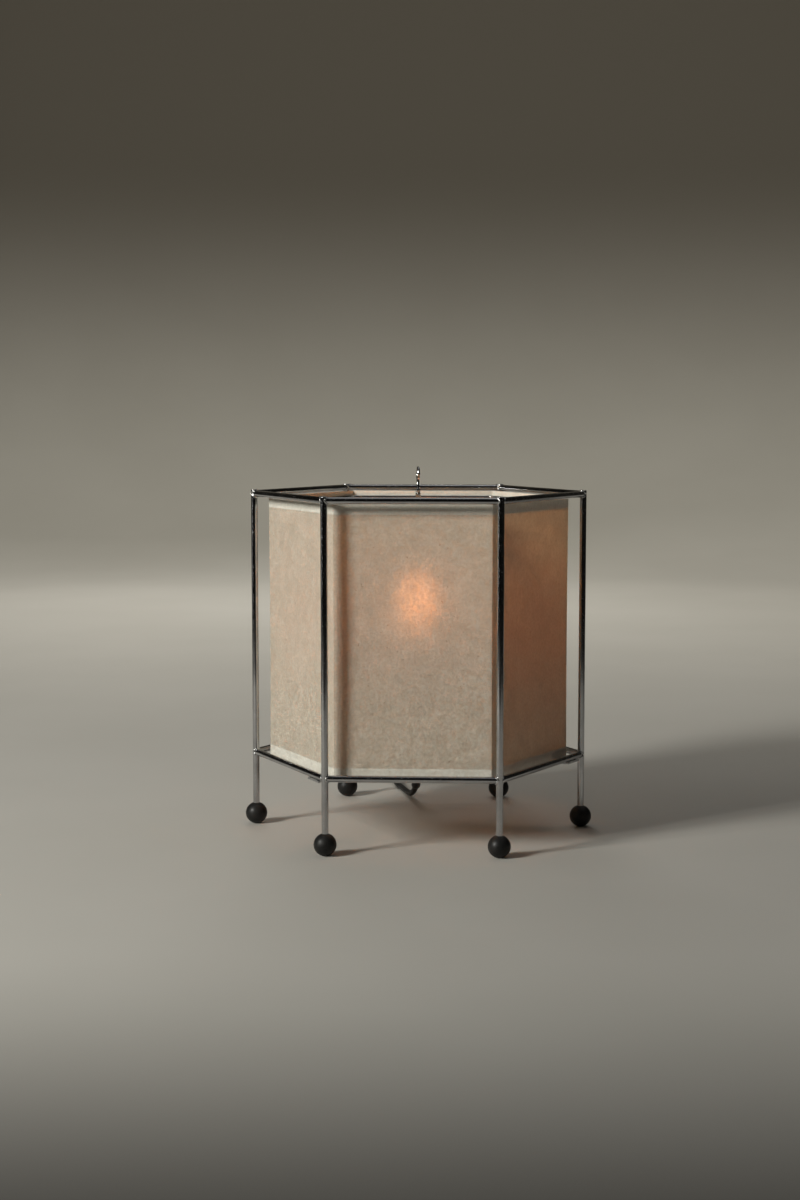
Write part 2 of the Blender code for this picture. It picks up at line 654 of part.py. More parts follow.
def eye_points():
    """A straight shank that swings out into a loop and comes back nearly to itself, in the YZ plane."""
    radius = (EYE_DIAMETER - EYE_WIRE) / 2
    centre = FERRULE_TOP + EYE_NECK + EYE_WIRE / 2 + radius
    foot = Vector((0.0, 0.0, FERRULE_TOP - EYE_SHANK_INSIDE))
    neck = Vector((0.0, 0.0, FERRULE_TOP))
    loop = []
    for step in range(EYE_LOOP_STEPS + 1):
        angle = EYE_LOOP_START + (EYE_LOOP_END - EYE_LOOP_START) * step / EYE_LOOP_STEPS
        loop.append(Vector((0.0, radius * math.cos(angle), centre + radius * math.sin(angle))))
    reach = (loop[0] - neck).length / 2
    rise = neck + Vector((0.0, 0.0, reach))
    into_loop = loop[0] - (loop[1] - loop[0]).normalized() * reach
    bend = interpolate_bezier(neck, rise, into_loop, loop[0], EYE_BEND_POINTS)
    return [foot, *bend, *loop[1:]]


def make_holder():
    neck = HOLDER_NECK_DIAMETER / 2
    wall = HOLDER_WALL
    shoulder = CAP_RIM - HOLDER_CAP_SKIRT
    cap_profile = [
        (HOLDER_RADIUS, CAP_RIM),
        (HOLDER_RADIUS, shoulder),
        (HOLDER_RADIUS - wall, shoulder - 2 * wall),
        (neck, HOLDER_BOTTOM + wall / 2),
        (neck - wall, HOLDER_BOTTOM),
        (STEM_HOLE, HOLDER_BOTTOM),
        (STEM_HOLE, HOLDER_BOTTOM + wall),
        (neck - wall, HOLDER_BOTTOM + wall),
        (HOLDER_RADIUS - 3 * wall, shoulder - wall),
        (CAP_INNER, shoulder + wall),
        (CAP_INNER, CAP_RIM),
    ]
    turned("holder_cap", cap_profile, PHENOLIC, closed=True)
    seat = CAP_RIM + SEAT_GAP
    sleeve_profile = [
        (HOLDER_RADIUS - wall, HOLDER_RIM),
        (HOLDER_RADIUS, HOLDER_RIM - wall),
        (HOLDER_RADIUS, seat),
        (SPIGOT_RADIUS, seat),
        (SPIGOT_RADIUS, CAP_RIM - HOLDER_SPIGOT),
        (SPIGOT_INNER, CAP_RIM - HOLDER_SPIGOT),
        (SPIGOT_INNER, HOLDER_RIM),
    ]
    turned("holder_sleeve", sleeve_profile, PHENOLIC, closed=True)
    hole = CONTACT_PIN_DIAMETER / 2 + SLIDE_GAP
    core_profile = [
        (CORE_RADIUS, CORE_TOP),
        (CORE_RADIUS, CORE_BOTTOM),
        (hole, CORE_BOTTOM),
        (hole, CORE_TOP),
    ]
    turned("holder_core", core_profile, CERAMIC, closed=True)
    shell_outer = SHELL_INNER + SHELL_WALL
    shell_profile = [
        (shell_outer, SHELL_BOTTOM + SHELL_HEIGHT),
        (shell_outer, SHELL_BOTTOM),
        (CONTACT_HEAD_DIAMETER / 2 + 2 * SLIDE_GAP, SHELL_BOTTOM),
        (CONTACT_HEAD_DIAMETER / 2 + 2 * SLIDE_GAP, SHELL_BOTTOM + SHELL_WALL),
        (SHELL_INNER, SHELL_BOTTOM + SHELL_WALL),
        (SHELL_INNER, SHELL_BOTTOM + SHELL_HEIGHT),
    ]
    turned("holder_screw_shell", shell_profile, BRASS, closed=True)
    head = CONTACT_HEAD_DIAMETER / 2
    contact_profile = [
        (0.0, CONTACT_TOP),
        (CONTACT_CROWN_DIAMETER / 2, CONTACT_TOP),
        (head, CONTACT_TOP - CONTACT_HEAD_HEIGHT / 2),
        (head, CONTACT_TOP - CONTACT_HEAD_HEIGHT),
        (CONTACT_PIN_DIAMETER / 2, CONTACT_TOP - CONTACT_HEAD_HEIGHT),
        (CONTACT_PIN_DIAMETER / 2, CONTACT_PIN_BOTTOM),
        (0.0, CONTACT_PIN_BOTTOM),
    ]
    turned("holder_centre_contact", contact_profile, BRASS, SMALL_STEPS)


def make_bulb():
    tip = BULB_TIP_DIAMETER / 2
    tip_top = BULB_BOTTOM + BULB_TIP_HEIGHT
    tip_crown = BULB_TIP_CROWN_DIAMETER / 2
    tip_profile = [(0.0, tip_top), (tip, tip_top), (tip_crown, BULB_BOTTOM), (0.0, BULB_BOTTOM)]
    turned("bulb_tip", tip_profile, ZINC, SMALL_STEPS)
    wall = BULB_CAP_WALL
    collar = BULB_CAP_RADIUS - BULB_CAP_TAPER
    insulator = collar - wall - SEAT_GAP
    insulator_profile = [
        (0.0, INSULATOR_TOP),
        (insulator, INSULATOR_TOP),
        (tip, INSULATOR_BOTTOM),
        (0.0, INSULATOR_BOTTOM),
    ]
    turned("bulb_insulator", insulator_profile, PHENOLIC, SMALL_STEPS)
    cap_profile = [
        (BULB_CAP_RADIUS, BULB_CAP_TOP),
        (BULB_CAP_RADIUS, BULB_CAP_BOTTOM + BULB_CAP_TAPER),
        (collar, BULB_CAP_BOTTOM),
        (collar - wall, BULB_CAP_BOTTOM + wall),
        (BULB_CAP_RADIUS - wall, BULB_CAP_BOTTOM + BULB_CAP_TAPER + wall),
        (BULB_CAP_RADIUS - wall, BULB_CAP_TOP),
    ]
    turned("bulb_cap", cap_profile, ZINC, closed=True)
    radius = BULB_DIAMETER / 2
    rise = BULB_BODY_HEIGHT / 2
    body = arc((0.0, BULB_CENTRE), radius, math.radians(90), BULB_BODY_END, BULB_ARC_STEPS, rise)
    body[0] = (0.0, BULB_TOP)
    waist = Vector((BULB_NECK_RADIUS, BULB_CAP_TOP))
    side = Vector(body[-1])
    slope = (side - Vector(body[-2])).normalized()
    reach = (side - waist).length / 3
    above_waist = waist + Vector((0.0, reach))
    bend = interpolate_bezier(side, side + slope * reach, above_waist, waist, NECK_POINTS)
    neck = [(point.x, point.y) for point in bend[1:]]
    neck.append((BULB_NECK_RADIUS, BULB_CAP_TOP - BULB_GLASS_IN_CAP))
    glass = turned("bulb_glass", body + neck, OPAL, GLASS_STEPS)
    shell = glass.modifiers.new("wall", "SOLIDIFY")
    shell.thickness = BULB_GLASS_WALL
    shell.offset = -1.0
    tube("bulb_filament", filament_points(), FILAMENT_WIRE, TUNGSTEN, resolution=1)


def filament_points():
    """Two lead wires rising from the cap, with the filament in peaks between their tops."""
    foot = BULB_CAP_TOP - BULB_GLASS_IN_CAP
    spread = FILAMENT_SPAN / 2
    post = FILAMENT_POST_SPACING / 2
    shoulder = BULB_CENTRE - spread
    left = [Vector((-post, 0.0, foot)), Vector((-post, 0.0, shoulder)), Vector((-spread, 0.0, BULB_CENTRE))]
    peaks = []
    for step in range(1, 2 * FILAMENT_PEAKS):
        x = -spread + FILAMENT_SPAN * step / (2 * FILAMENT_PEAKS)
        height = FILAMENT_PEAK_HEIGHT if step % 2 else 0.0
        peaks.append(Vector((x, 0.0, BULB_CENTRE + height)))
    right = [Vector((-point.x, 0.0, point.z)) for point in reversed(left)]
    return left + peaks + right


def make_outlet():
    radius = ELBOW_DIAMETER / 2
    body_profile = [
        (0.0, ELBOW_TOP),
        (radius, ELBOW_TOP),
        (radius, ELBOW_BOTTOM + ELBOW_TAPER),
        (ELBOW_BASE_DIAMETER / 2, ELBOW_BOTTOM),
        (0.0, ELBOW_BOTTOM),
    ]
    elbow = turned("cord_elbow", body_profile, PVC, SMALL_STEPS)
    nozzle = helper(rod("elbow_nozzle", NOZZLE_DIAMETER, NOZZLE_REACH, None, SMALL_STEPS))
    bore = helper(rod("elbow_bore", NOZZLE_BORE, NOZZLE_REACH + 2 * SLIDE_GAP, None, SMALL_STEPS))
    for part, lead in ((nozzle, 0.0), (bore, SLIDE_GAP)):
        part.rotation_euler.x = math.radians(90)
        part.location = (0.0, NOZZLE_REACH / 2 + lead, NOZZLE_HEIGHT)
    well_depth = ELBOW_TOP - NOZZLE_HEIGHT + NOZZLE_BORE / 2
    well = helper(rod("elbow_well", 2 * STEM_HOLE, 2 * well_depth, None, SMALL_STEPS))
    well.location.z = ELBOW_TOP
    cut(elbow, nozzle, "UNION")
    cut(elbow, bore)
    cut(elbow, well)
    flex_low = Vector((0.0, 0.0, STEM_BOTTOM))
    flex_high = Vector((0.0, 0.0, CORE_BOTTOM - SEAT_GAP))
    tube("inner_flex", [flex_low, flex_high], INNER_FLEX_DIAMETER, PVC)
    route = smooth_route(RELIEF_ROUTE, CORD_DIAMETER)
    taper = RELIEF_END_DIAMETER / RELIEF_START_DIAMETER - 1
    radii = [1 + taper * index / (len(route) - 1) for index in range(len(route))]
    tube("strain_relief", route, RELIEF_START_DIAMETER, PVC, resolution=3, radii=radii)


def coil_points():
    """The coil, wound clockwise: in on the lower layer, up in half a turn, and out on the upper layer."""
    count = round(COIL_TURNS * COIL_POINTS_PER_TURN)
    points = []
    for index in range(count + 1):
        turn = COIL_TURNS * index / count
        inward = min(turn, COIL_TURNS_A_LAYER)
        outward = max(0.0, turn - COIL_TURNS_A_LAYER)
        climb = min(max(0.5 + (turn - COIL_TURNS_A_LAYER) / CLIMB_TURNS, 0.0), 1.0)
        radius = COIL_OUTER - COIL_STEP * (inward - outward)
        height = COIL_LOW + (COIL_HIGH - COIL_LOW) * (1 - math.cos(math.pi * climb)) / 2
        points.append(Vector((*COIL_CENTRE, 0.0)) + polar(radius, COIL_START - math.tau * turn, height))
    return points


def coil_self_gap(points):
    """The least clear distance between the coil's neighbouring turns, measured between their centre lines."""
    apart = COIL_POINTS_PER_TURN // 2
    least = math.inf
    for first in range(len(points) - 1):
        start = points[first]
        for second in range(first + apart, len(points) - 1):
            along = points[second + 1] - points[second]
            share = (start - points[second]).dot(along) / along.length_squared
            nearest = points[second] + along * min(max(share, 0.0), 1.0)
            least = min(least, (start - nearest).length)
    return least - CORD_DIAMETER


def make_cord():
    coil = coil_points()
    first_way = (coil[1] - coil[0]).normalized()
    last_way = (coil[-1] - coil[-2]).normalized()
    link_start = Vector((SWITCH_CENTRE[0], SWITCH_BACK + SEAT_GAP, SWITCH_ENTRY_HEIGHT))
    link_out = Vector((SWITCH_CENTRE[0], SWITCH_BACK + SWITCH_STRAIGHT, SWITCH_ENTRY_HEIGHT))
    link_end = coil[0] - first_way * SEAT_GAP
    link_near = coil[0] - first_way * STRAIGHT_RUN
    tail_start = coil[-1] + last_way * SEAT_GAP
    tail_near = coil[-1] + last_way * STRAIGHT_RUN
    tail_in = Vector((PLUG_REAR[0], PLUG_REAR[1] + SWITCH_STRAIGHT, PLUG_HEIGHT))
    tail_end = Vector((PLUG_REAR[0], PLUG_REAR[1] + SEAT_GAP, PLUG_HEIGHT))
    lead = smooth_route(LEAD_ROUTE, ROUTE_STEP)
    link = smooth_route((link_start, link_out, *LINK_MIDDLE, link_near, link_end), ROUTE_STEP)
    tail = smooth_route((tail_start, tail_near, *TAIL_MIDDLE, tail_in, tail_end), ROUTE_STEP)
    tube("cord_lead", lead, CORD_DIAMETER, PVC, resolution=3)
    tube("cord_link", link, CORD_DIAMETER, PVC, resolution=3)
    tube("cord_coil", coil, CORD_DIAMETER, PVC, resolution=1)
    tube("cord_tail", tail, CORD_DIAMETER, PVC, resolution=3)
    total = length_of(lead) + SWITCH_SIZE[1] + length_of(link) + length_of(coil) + length_of(tail)
    print(f"cord length {total:.3f} m, least gap in the coil {coil_self_gap(coil) * 1000:.2f} mm")
    clear = CORD_RADIUS + SEAT_GAP
    low = (COIL_INNER - clear, COIL_LOW - clear)
    high = (COIL_OUTER + clear, COIL_HIGH + clear)
    thick = TIE_THICKNESS
    inside = rounded_outline(low, high, CORD_RADIUS)
    outside = rounded_outline(
        (low[0] - thick, low[1] - thick), (high[0] + thick, high[1] + thick), CORD_RADIUS + thick
    )
    tie = plate("coil_tie", [outside, inside], TIE_WIDTH, PVC)
    tie.rotation_euler = (math.radians(90), 0.0, TIE_ANGLE)
    tie.location = (*COIL_CENTRE, 0.0)


def make_switch():
    width, length, height = SWITCH_SIZE
    outline = rounded_outline((-width / 2, -length / 2), (width / 2, length / 2), SWITCH_CORNER)
    housing = plate("switch_housing", [outline], height, PVC)
    housing.location = (*SWITCH_CENTRE, FLOOR_GAP + height / 2)
    soften(housing, SWITCH_EDGE)
    pivot = (*SWITCH_CENTRE, FLOOR_GAP + height - ROCKER_PIVOT_DEPTH)
    thick, span = ROCKER_SIZE
    half = span / 2
    sweep = math.hypot(half, ROCKER_PIVOT_DEPTH)
    pocket_size = (thick, 2 * sweep, 2 * ROCKER_POCKET_DEPTH)
    pocket = helper(box("rocker_pocket", [size + 2 * ROCKER_CLEARANCE for size in pocket_size]))
    axle_length = thick + 2 * (ROCKER_CLEARANCE + ROCKER_AXLE_REACH)
    axle = helper(rod("rocker_axle", ROCKER_AXLE_DIAMETER, axle_length, None))
    bearing_diameter = ROCKER_AXLE_DIAMETER + 2 * ROCKER_CLEARANCE
    bearing = helper(rod("axle_bearing", bearing_diameter, axle_length + 2 * ROCKER_CLEARANCE, None))
    for obj in (pocket, axle, bearing):
        obj.location = pivot
    for obj in (axle, bearing):
        obj.rotation_euler.y = math.radians(90)
    cut(housing, pocket)
    cut(housing, bearing)
    dished = ROCKER_PIVOT_DEPTH - ROCKER_DISH
    outline = [
        (-half, ROCKER_PIVOT_DEPTH),
        (-half + ROCKER_END_SLOPE, -ROCKER_BELOW_PIVOT),
        (half - ROCKER_END_SLOPE, -ROCKER_BELOW_PIVOT),
        (half, ROCKER_PIVOT_DEPTH),
        (half / 2, dished + ROCKER_DISH / 4),
        (0.0, dished),
        (-half / 2, dished + ROCKER_DISH / 4),
    ]
    rocker = plate("switch_rocker", [outline], thick, PHENOLIC)
    stand = Matrix.Rotation(math.radians(90), 4, "Z") @ Matrix.Rotation(math.radians(90), 4, "X")
    rocker.matrix_world = Matrix.Translation(pivot) @ Matrix.Rotation(ROCKER_TILT, 4, "X") @ stand
    cut(rocker, axle, "UNION")


def make_plug():
    half_face = PLUG_FACE_WIDTH / 2
    half_rear = PLUG_REAR_WIDTH / 2
    shoulder = PLUG_NECK_LENGTH + PLUG_SHOULDER_LENGTH
    outline = [
        (-half_rear, 0.0),
        (-half_rear, -PLUG_NECK_LENGTH),
        (-half_face, -shoulder),
        (-half_face, -PLUG_LENGTH),
        (half_face, -PLUG_LENGTH),
        (half_face, -shoulder),
        (half_rear, -PLUG_NECK_LENGTH),
        (half_rear, 0.0),
    ]
    body = plate("plug_body", [outline], PLUG_THICKNESS, PVC)
    body.location = (*PLUG_REAR, PLUG_HEIGHT)
    soften(body, PLUG_EDGE)
    socket_length = 2 * (PIN_IN_BODY + SEAT_GAP)
    for side, name in ((-1, "left"), (1, "right")):
        x = PLUG_REAR[0] + side * PIN_SPACING / 2
        socket = helper(rod("pin_socket_" + name, PIN_DIAMETER + 2 * SEAT_GAP, socket_length, None))
        socket.location = (x, PLUG_FACE, PLUG_HEIGHT)
        socket.rotation_euler.x = math.radians(90)
        cut(body, socket)
        pin = rod("plug_pin_" + name, PIN_DIAMETER, PIN_LENGTH + PIN_IN_BODY, BRASS)
        pin.location = (x, PLUG_FACE + (PIN_IN_BODY - PIN_LENGTH) / 2, PLUG_HEIGHT)
        pin.rotation_euler.x = math.radians(90)
        soften(pin, PIN_CHAMFER, 1)


make_frame()
make_carrier()
make_shade()
make_holder()
make_bulb()
make_outlet()
make_cord()
make_switch()
make_plug()
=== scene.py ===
# %% [markdown]
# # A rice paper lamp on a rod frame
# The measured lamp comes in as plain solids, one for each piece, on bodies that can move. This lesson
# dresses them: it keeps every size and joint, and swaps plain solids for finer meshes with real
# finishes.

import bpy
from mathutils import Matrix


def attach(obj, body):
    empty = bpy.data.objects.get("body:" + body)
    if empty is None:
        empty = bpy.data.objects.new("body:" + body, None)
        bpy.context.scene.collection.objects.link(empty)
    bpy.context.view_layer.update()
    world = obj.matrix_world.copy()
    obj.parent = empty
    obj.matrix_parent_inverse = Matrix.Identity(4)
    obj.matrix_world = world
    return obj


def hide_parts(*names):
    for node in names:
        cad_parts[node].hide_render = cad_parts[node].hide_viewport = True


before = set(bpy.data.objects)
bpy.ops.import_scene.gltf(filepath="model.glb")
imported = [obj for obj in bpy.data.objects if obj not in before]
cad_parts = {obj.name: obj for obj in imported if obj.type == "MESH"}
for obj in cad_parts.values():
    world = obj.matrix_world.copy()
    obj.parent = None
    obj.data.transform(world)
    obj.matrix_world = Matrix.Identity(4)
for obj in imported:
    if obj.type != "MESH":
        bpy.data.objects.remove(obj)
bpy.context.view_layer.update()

# %% [markdown]
# ## The camera
# The lamp was photographed from a little above its top rail, almost square to one flat panel. A camera
# could be aimed with a tracking constraint, but its place, turn and dip are known here, so its three
# axes are written as a matrix: right, up and back. The lens is given on the long side of the upright
# picture.

# %% Set the camera
import math

import bmesh
import bpy
from mathutils import Matrix, Vector, noise
from mathutils.geometry import interpolate_bezier

camera = bpy.data.objects.new("camera", bpy.data.cameras.new("camera"))
camera.data.lens = 58.86
camera.data.clip_start = 0.01
bpy.context.scene.collection.objects.link(camera)
bpy.context.scene.camera = camera
stand = Vector((0.0686, -1.7867, 0.3895))
turn = -0.0476
dip = 0.1008
ahead = Vector((math.sin(turn) * math.cos(dip), math.cos(turn) * math.cos(dip), -math.sin(dip)))
right = Vector((math.cos(turn), -math.sin(turn), 0.0))
aim = Matrix((right, right.cross(ahead), -ahead)).transposed().to_4x4()
camera.matrix_world = Matrix.Translation(stand) @ aim
print("camera looks along", [round(part, 3) for part in ahead])

# %% [markdown]
# ## The cord's line
# The mains cord is one length of round black flex. It comes out of a long rubber sleeve just above the
# table, runs back through the inline switch, and the rest is wound up flat behind the lamp, as it is
# sold. Its line is a list of places: a few listed where it runs free, and a spiral for the coil,
# which goes in on the lower layer and out on the upper one.

# %% Lay out the coil
MM = 0.001
COIL_CENTRE = Vector((0.033, 0.268, 0.0))
COIL_MIDDLE = 32.75 * MM
COIL_LOW = 4.2 * MM
COIL_STEP = 6.1 * MM
COIL_TURNS = 7 - 75 / 360
COIL_LAYER = COIL_TURNS / 2
COIL_OUTER = COIL_MIDDLE + COIL_STEP * COIL_LAYER / 2
COIL_START = math.radians(120)
CLIMB_TURNS = 0.5
TURN_PLACES = 24


def polar(radius, angle, height=0.0):
    return Vector((radius * math.cos(angle), radius * math.sin(angle), height))


def coil_line():
    """A spiral that goes in on the lower layer and out on the upper one."""
    line = []
    for index in range(round(COIL_TURNS * TURN_PLACES) + 1):
        wound = index / TURN_PLACES
        inward = min(wound, COIL_LAYER) - max(0.0, wound - COIL_LAYER)
        climb = min(max(0.5 + (wound - COIL_LAYER) / CLIMB_TURNS, 0.0), 1.0)
        height = COIL_LOW + COIL_STEP * (1 - math.cos(math.pi * climb)) / 2
        spot = polar(COIL_OUTER - COIL_STEP * inward, COIL_START - math.tau * wound, height)
        line.append(COIL_CENTRE + spot)
    return line


coil = coil_line()
print("coil of", len(coil), "places,", round(COIL_TURNS, 2), "turns")

# %% Join the cord's places into one line
COIL_STRAIGHT = 17 * MM
LEAD = (
    (-6.35, 106.24, 14.55),
    (-6.79, 108.32, 12.43),
    (-9.0, 115.5, 7.4),
    (-12.5, 127.0, 3.7),
    (-16.5, 140.0, 2.9),
    (-21.0, 155.0, 2.9),
    (-25.5, 170.0, 2.9),
    (-28.5, 181.0, 3.1),
    (-30.1, 190.0, 4.6),
    (-30.5, 199.0, 6.4),
    (-30.5, 218.0, 6.4),
    (-30.5, 254.0, 6.4),
    (-30.5, 273.0, 6.4),
    (-28.3, 280.0, 5.6),
    (-21.5, 287.5, 4.5),
)
TAIL = (
    (-18.2, 288.0, 10.8),
    (-28.0, 298.5, 9.3),
    (-43.0, 306.5, 6.2),
    (-59.0, 305.0, 5.0),
    (-69.5, 295.0, 6.1),
    (-73.0, 286.0, 6.95),
    (-73.0, 277.3, 6.95),
)
into_coil = (coil[1] - coil[0]).normalized()
out_of_coil = (coil[-1] - coil[-2]).normalized()
places = [Vector(place) * MM for place in LEAD]
places += [coil[0] - into_coil * COIL_STRAIGHT, *coil, coil[-1] + out_of_coil * COIL_STRAIGHT]
places += [Vector(place) * MM for place in TAIL]
print("cord passes", len(places), "places")

# %% [markdown]
# ## The cord itself
# A cord can be a mesh tube or a curve with a round bevel. The curve wins: a Bezier spline stays smooth
# through every place. Each handle is a third of the way to its neighbour and points along the line
# between the places on either side.

# %% Draw the cord as a curve
CORD_RADIUS = 2.8 * MM


def cord_curve(name, places, radius):
    curve = bpy.data.curves.new(name, "CURVE")
    curve.dimensions = "3D"
    curve.resolution_u = 6
    curve.bevel_depth = radius
    curve.bevel_resolution = 6
    curve.use_fill_caps = True
    spline = curve.splines.new("BEZIER")
    spline.bezier_points.add(len(places) - 1)
    ways = [places[1] - places[0]]
    ways += [after - before for before, after in zip(places, places[2:])]
    ways.append(places[-1] - places[-2])
    for index, (knot, place, way) in enumerate(zip(spline.bezier_points, places, ways)):
        back = (place - places[max(index - 1, 0)]).length / 3
        forth = (places[min(index + 1, len(places) - 1)] - place).length / 3
        knot.handle_left_type = "FREE"
        knot.handle_right_type = "FREE"
        knot.co = place
        knot.handle_left = place - way.normalized() * back
        knot.handle_right = place + way.normalized() * forth
    spline.use_smooth = True
    cord = bpy.data.objects.new(name, curve)
    bpy.context.scene.collection.objects.link(cord)
    return cord


mains_cord = cord_curve("mains_cord", places, CORD_RADIUS)

# %% [markdown]
# ## Table and backdrop
# A plain pale floor that curves up into a wall stands in for a studio. It is turned like a shallow
# bowl, so that there is a wall behind the lamp from every side. The lathe helper made for it is used
# for most round pieces later: it turns a list of radius and height pairs about an upright line.

# %% A helper that turns a profile
def link_shape(name, shape, sharp=35):
    """A linked object from a bmesh, smooth but for edges sharper than the angle in degrees."""
    bmesh.ops.recalc_face_normals(shape, faces=shape.faces)
    mesh = bpy.data.meshes.new(name)
    shape.to_mesh(mesh)
    shape.free()
    mesh.shade_smooth()
    mesh.set_sharp_from_angle(angle=math.radians(sharp))
    made = bpy.data.objects.new(name, mesh)
    bpy.context.scene.collection.objects.link(made)
    return made


def lathe(name, profile, steps=48, closed=False, at=(0.0, 0.0), shape_radius=None, sharp=35):
    """Turns (radius, height) pairs; shape_radius(angle, radius, height) can add flutes or a thread."""
    shape = bmesh.new()
    rings = []
    for radius, height in profile:
        count = steps if radius > 1e-7 else 1
        ring = []
        for step in range(count):
            angle = math.tau * step / steps
            reach = shape_radius(angle, radius, height) if shape_radius else radius
            ring.append(shape.verts.new(Vector((*at, 0.0)) + polar(reach, angle, height)))
        rings.append(ring)
    pairs = list(zip(rings, rings[1:]))
    if closed:
        pairs.append((rings[-1], rings[0]))
    for upper, lower in pairs:
        for step in range(steps):
            beside = (step + 1) % steps
            corners = [upper[step % len(upper)], lower[step % len(lower)]]
            corners += [lower[beside % len(lower)], upper[beside % len(upper)]]
            corners = list(dict.fromkeys(corners))
            if len(corners) > 2:
                shape.faces.new(corners)
    return link_shape(name, shape, sharp)


print("lathe ready")

# %% Turn the floor and the wall
FLOOR_REACH = 2.6
WALL_BEND = 1.6
WALL_TOP = 4.5
BEND_STEPS = 16
sweep_profile = [(0.0, 0.0), (0.8, 0.0), (FLOOR_REACH, 0.0)]
for step in range(1, BEND_STEPS + 1):
    angle = math.radians(90) * step / BEND_STEPS
    sweep_profile.append((FLOOR_REACH + WALL_BEND * math.sin(angle), WALL_BEND * (1 - math.cos(angle))))
sweep_profile.append((FLOOR_REACH + WALL_BEND, WALL_TOP))
sweep = lathe("studio_sweep", sweep_profile, steps=96)
sweep.location.z = -0.2 * MM
print("studio sweep is", 2 * sweep_profile[-1][0], "m across")

# %% [markdown]
# ## Finishes from noise
# A finish that is one flat colour looks like a toy. Image textures could add life, but noise in the
# piece's own space needs no picture and no unwrapping. The helpers below spread a noise over a range,
# mix two tones with it, and turn it into a fine relief.

# %% Helpers for noise
def start_finish(name):
    finish = bpy.data.materials.new(name)
    finish.use_nodes = True
    return finish


def surface(finish):
    return finish.node_tree.nodes["Principled BSDF"]


def grain(finish, scale, low, high, detail=3.0, stretch=(1.0, 1.0, 1.0), window=(0.35, 0.65)):
    """A noise of so many cycles a metre, its window of values spread over low to high."""
    nodes = finish.node_tree.nodes
    links = finish.node_tree.links
    space = nodes.new("ShaderNodeTexCoord")
    squeeze = nodes.new("ShaderNodeMapping")
    squeeze.inputs["Scale"].default_value = stretch
    cloud = nodes.new("ShaderNodeTexNoise")
    cloud.inputs["Scale"].default_value = scale
    cloud.inputs["Detail"].default_value = detail
    spread = nodes.new("ShaderNodeMapRange")
    spread.inputs["From Min"].default_value = window[0]
    spread.inputs["From Max"].default_value = window[1]
    spread.inputs["To Min"].default_value = low
    spread.inputs["To Max"].default_value = high
    links.new(space.outputs["Object"], squeeze.inputs["Vector"])
    links.new(squeeze.outputs["Vector"], cloud.inputs["Vector"])
    links.new(cloud.outputs["Fac"], spread.inputs["Value"])
    return spread.outputs["Result"]


print("noise helpers ready")

# %% Helpers for tones, sums and relief
def two_tones(finish, share, dark, light):
    """A colour between two, or between a socket and a colour."""
    mix = finish.node_tree.nodes.new("ShaderNodeMix")
    mix.data_type = "RGBA"
    finish.node_tree.links.new(share, mix.inputs[0])
    for tone, socket in ((dark, mix.inputs[6]), (light, mix.inputs[7])):
        if isinstance(tone, tuple):
            socket.default_value = (*tone, 1.0)
        else:
            finish.node_tree.links.new(tone, socket)
    return mix.outputs[2]


def reckon(finish, operation, first, second):
    """A sum of two numbers, either of them a socket."""
    sum_node = finish.node_tree.nodes.new("ShaderNodeMath")
    sum_node.operation = operation
    for value, socket in ((first, sum_node.inputs[0]), (second, sum_node.inputs[1])):
        if isinstance(value, (int, float)):
            socket.default_value = value
        else:
            finish.node_tree.links.new(value, socket)
    return sum_node.outputs[0]


def relief(finish, height, depth):
    bump = finish.node_tree.nodes.new("ShaderNodeBump")
    bump.inputs["Strength"].default_value = 1.0
    bump.inputs["Distance"].default_value = depth
    finish.node_tree.links.new(height, bump.inputs["Height"])
    return bump.outputs["Normal"]


def feed(finish, **sockets):
    """Sets or links sockets of the finish's shader; names use _ for a space."""
    for name, value in sockets.items():
        socket = surface(finish).inputs[name.replace("_", " ")]
        if isinstance(value, bpy.types.NodeSocket):
            finish.node_tree.links.new(value, socket)
        else:
            socket.default_value = value
    return finish


def place_share(finish, axis, low, high):
    """Runs from 0 to 1 between two places along an axis."""
    space = finish.node_tree.nodes.new("ShaderNodeTexCoord")
    parts = finish.node_tree.nodes.new("ShaderNodeSeparateXYZ")
    spread = finish.node_tree.nodes.new("ShaderNodeMapRange")
    spread.interpolation_type = "SMOOTHSTEP"
    spread.inputs["From Min"].default_value = low
    spread.inputs["From Max"].default_value = high
    finish.node_tree.links.new(space.outputs["Object"], parts.inputs["Vector"])
    finish.node_tree.links.new(parts.outputs[axis], spread.inputs["Value"])
    return spread.outputs["Result"]


print("finish helpers ready")

# %% [markdown]
# ## The studio's paint
# Polished rod shows the room more than it shows itself. The floor is pale under the lamp and behind it,
# so the lamp stands out and keeps its shadow. In front and to the sides the paint darkens, and the wall
# darkens as it rises: painted shade that stands in for an unlit room, because the rods mirror those
# parts, and a dark room is what makes plating look crisp. Black screens could do the same, but they
# would stand in the way of other views.

# %% Paint the floor and the wall
studio_paint = start_finish("studio_paint")
floor_grain = grain(studio_paint, 3.0, 0.0, 1.0)
floor_tone = two_tones(studio_paint, floor_grain, (0.44, 0.425, 0.39), (0.46, 0.445, 0.41))
# Painted shade: the wall darkens as it rises, and the floor darkens in front of the lamp and to the sides.
painted_wall_shade = place_share(studio_paint, "Z", -0.05, 1.1)
paint_tone = two_tones(studio_paint, painted_wall_shade, floor_tone, (0.10, 0.09, 0.075))
painted_room_shade = place_share(studio_paint, "Y", -0.42, -1.0)
before_lamp = place_share(studio_paint, "Y", 0.9, 0.2)
for near, far in ((-0.5, -1.2), (0.5, 1.2)):
    beside = reckon(studio_paint, "MULTIPLY", place_share(studio_paint, "X", near, far), before_lamp)
    painted_room_shade = reckon(studio_paint, "MAXIMUM", painted_room_shade, beside)
for near, far in ((-1.3, -2.2), (1.3, 2.2)):
    painted_room_shade = reckon(studio_paint, "MAXIMUM", painted_room_shade, place_share(studio_paint, "X", near, far))
paint_tone = two_tones(studio_paint, painted_room_shade, paint_tone, (0.035, 0.033, 0.030))
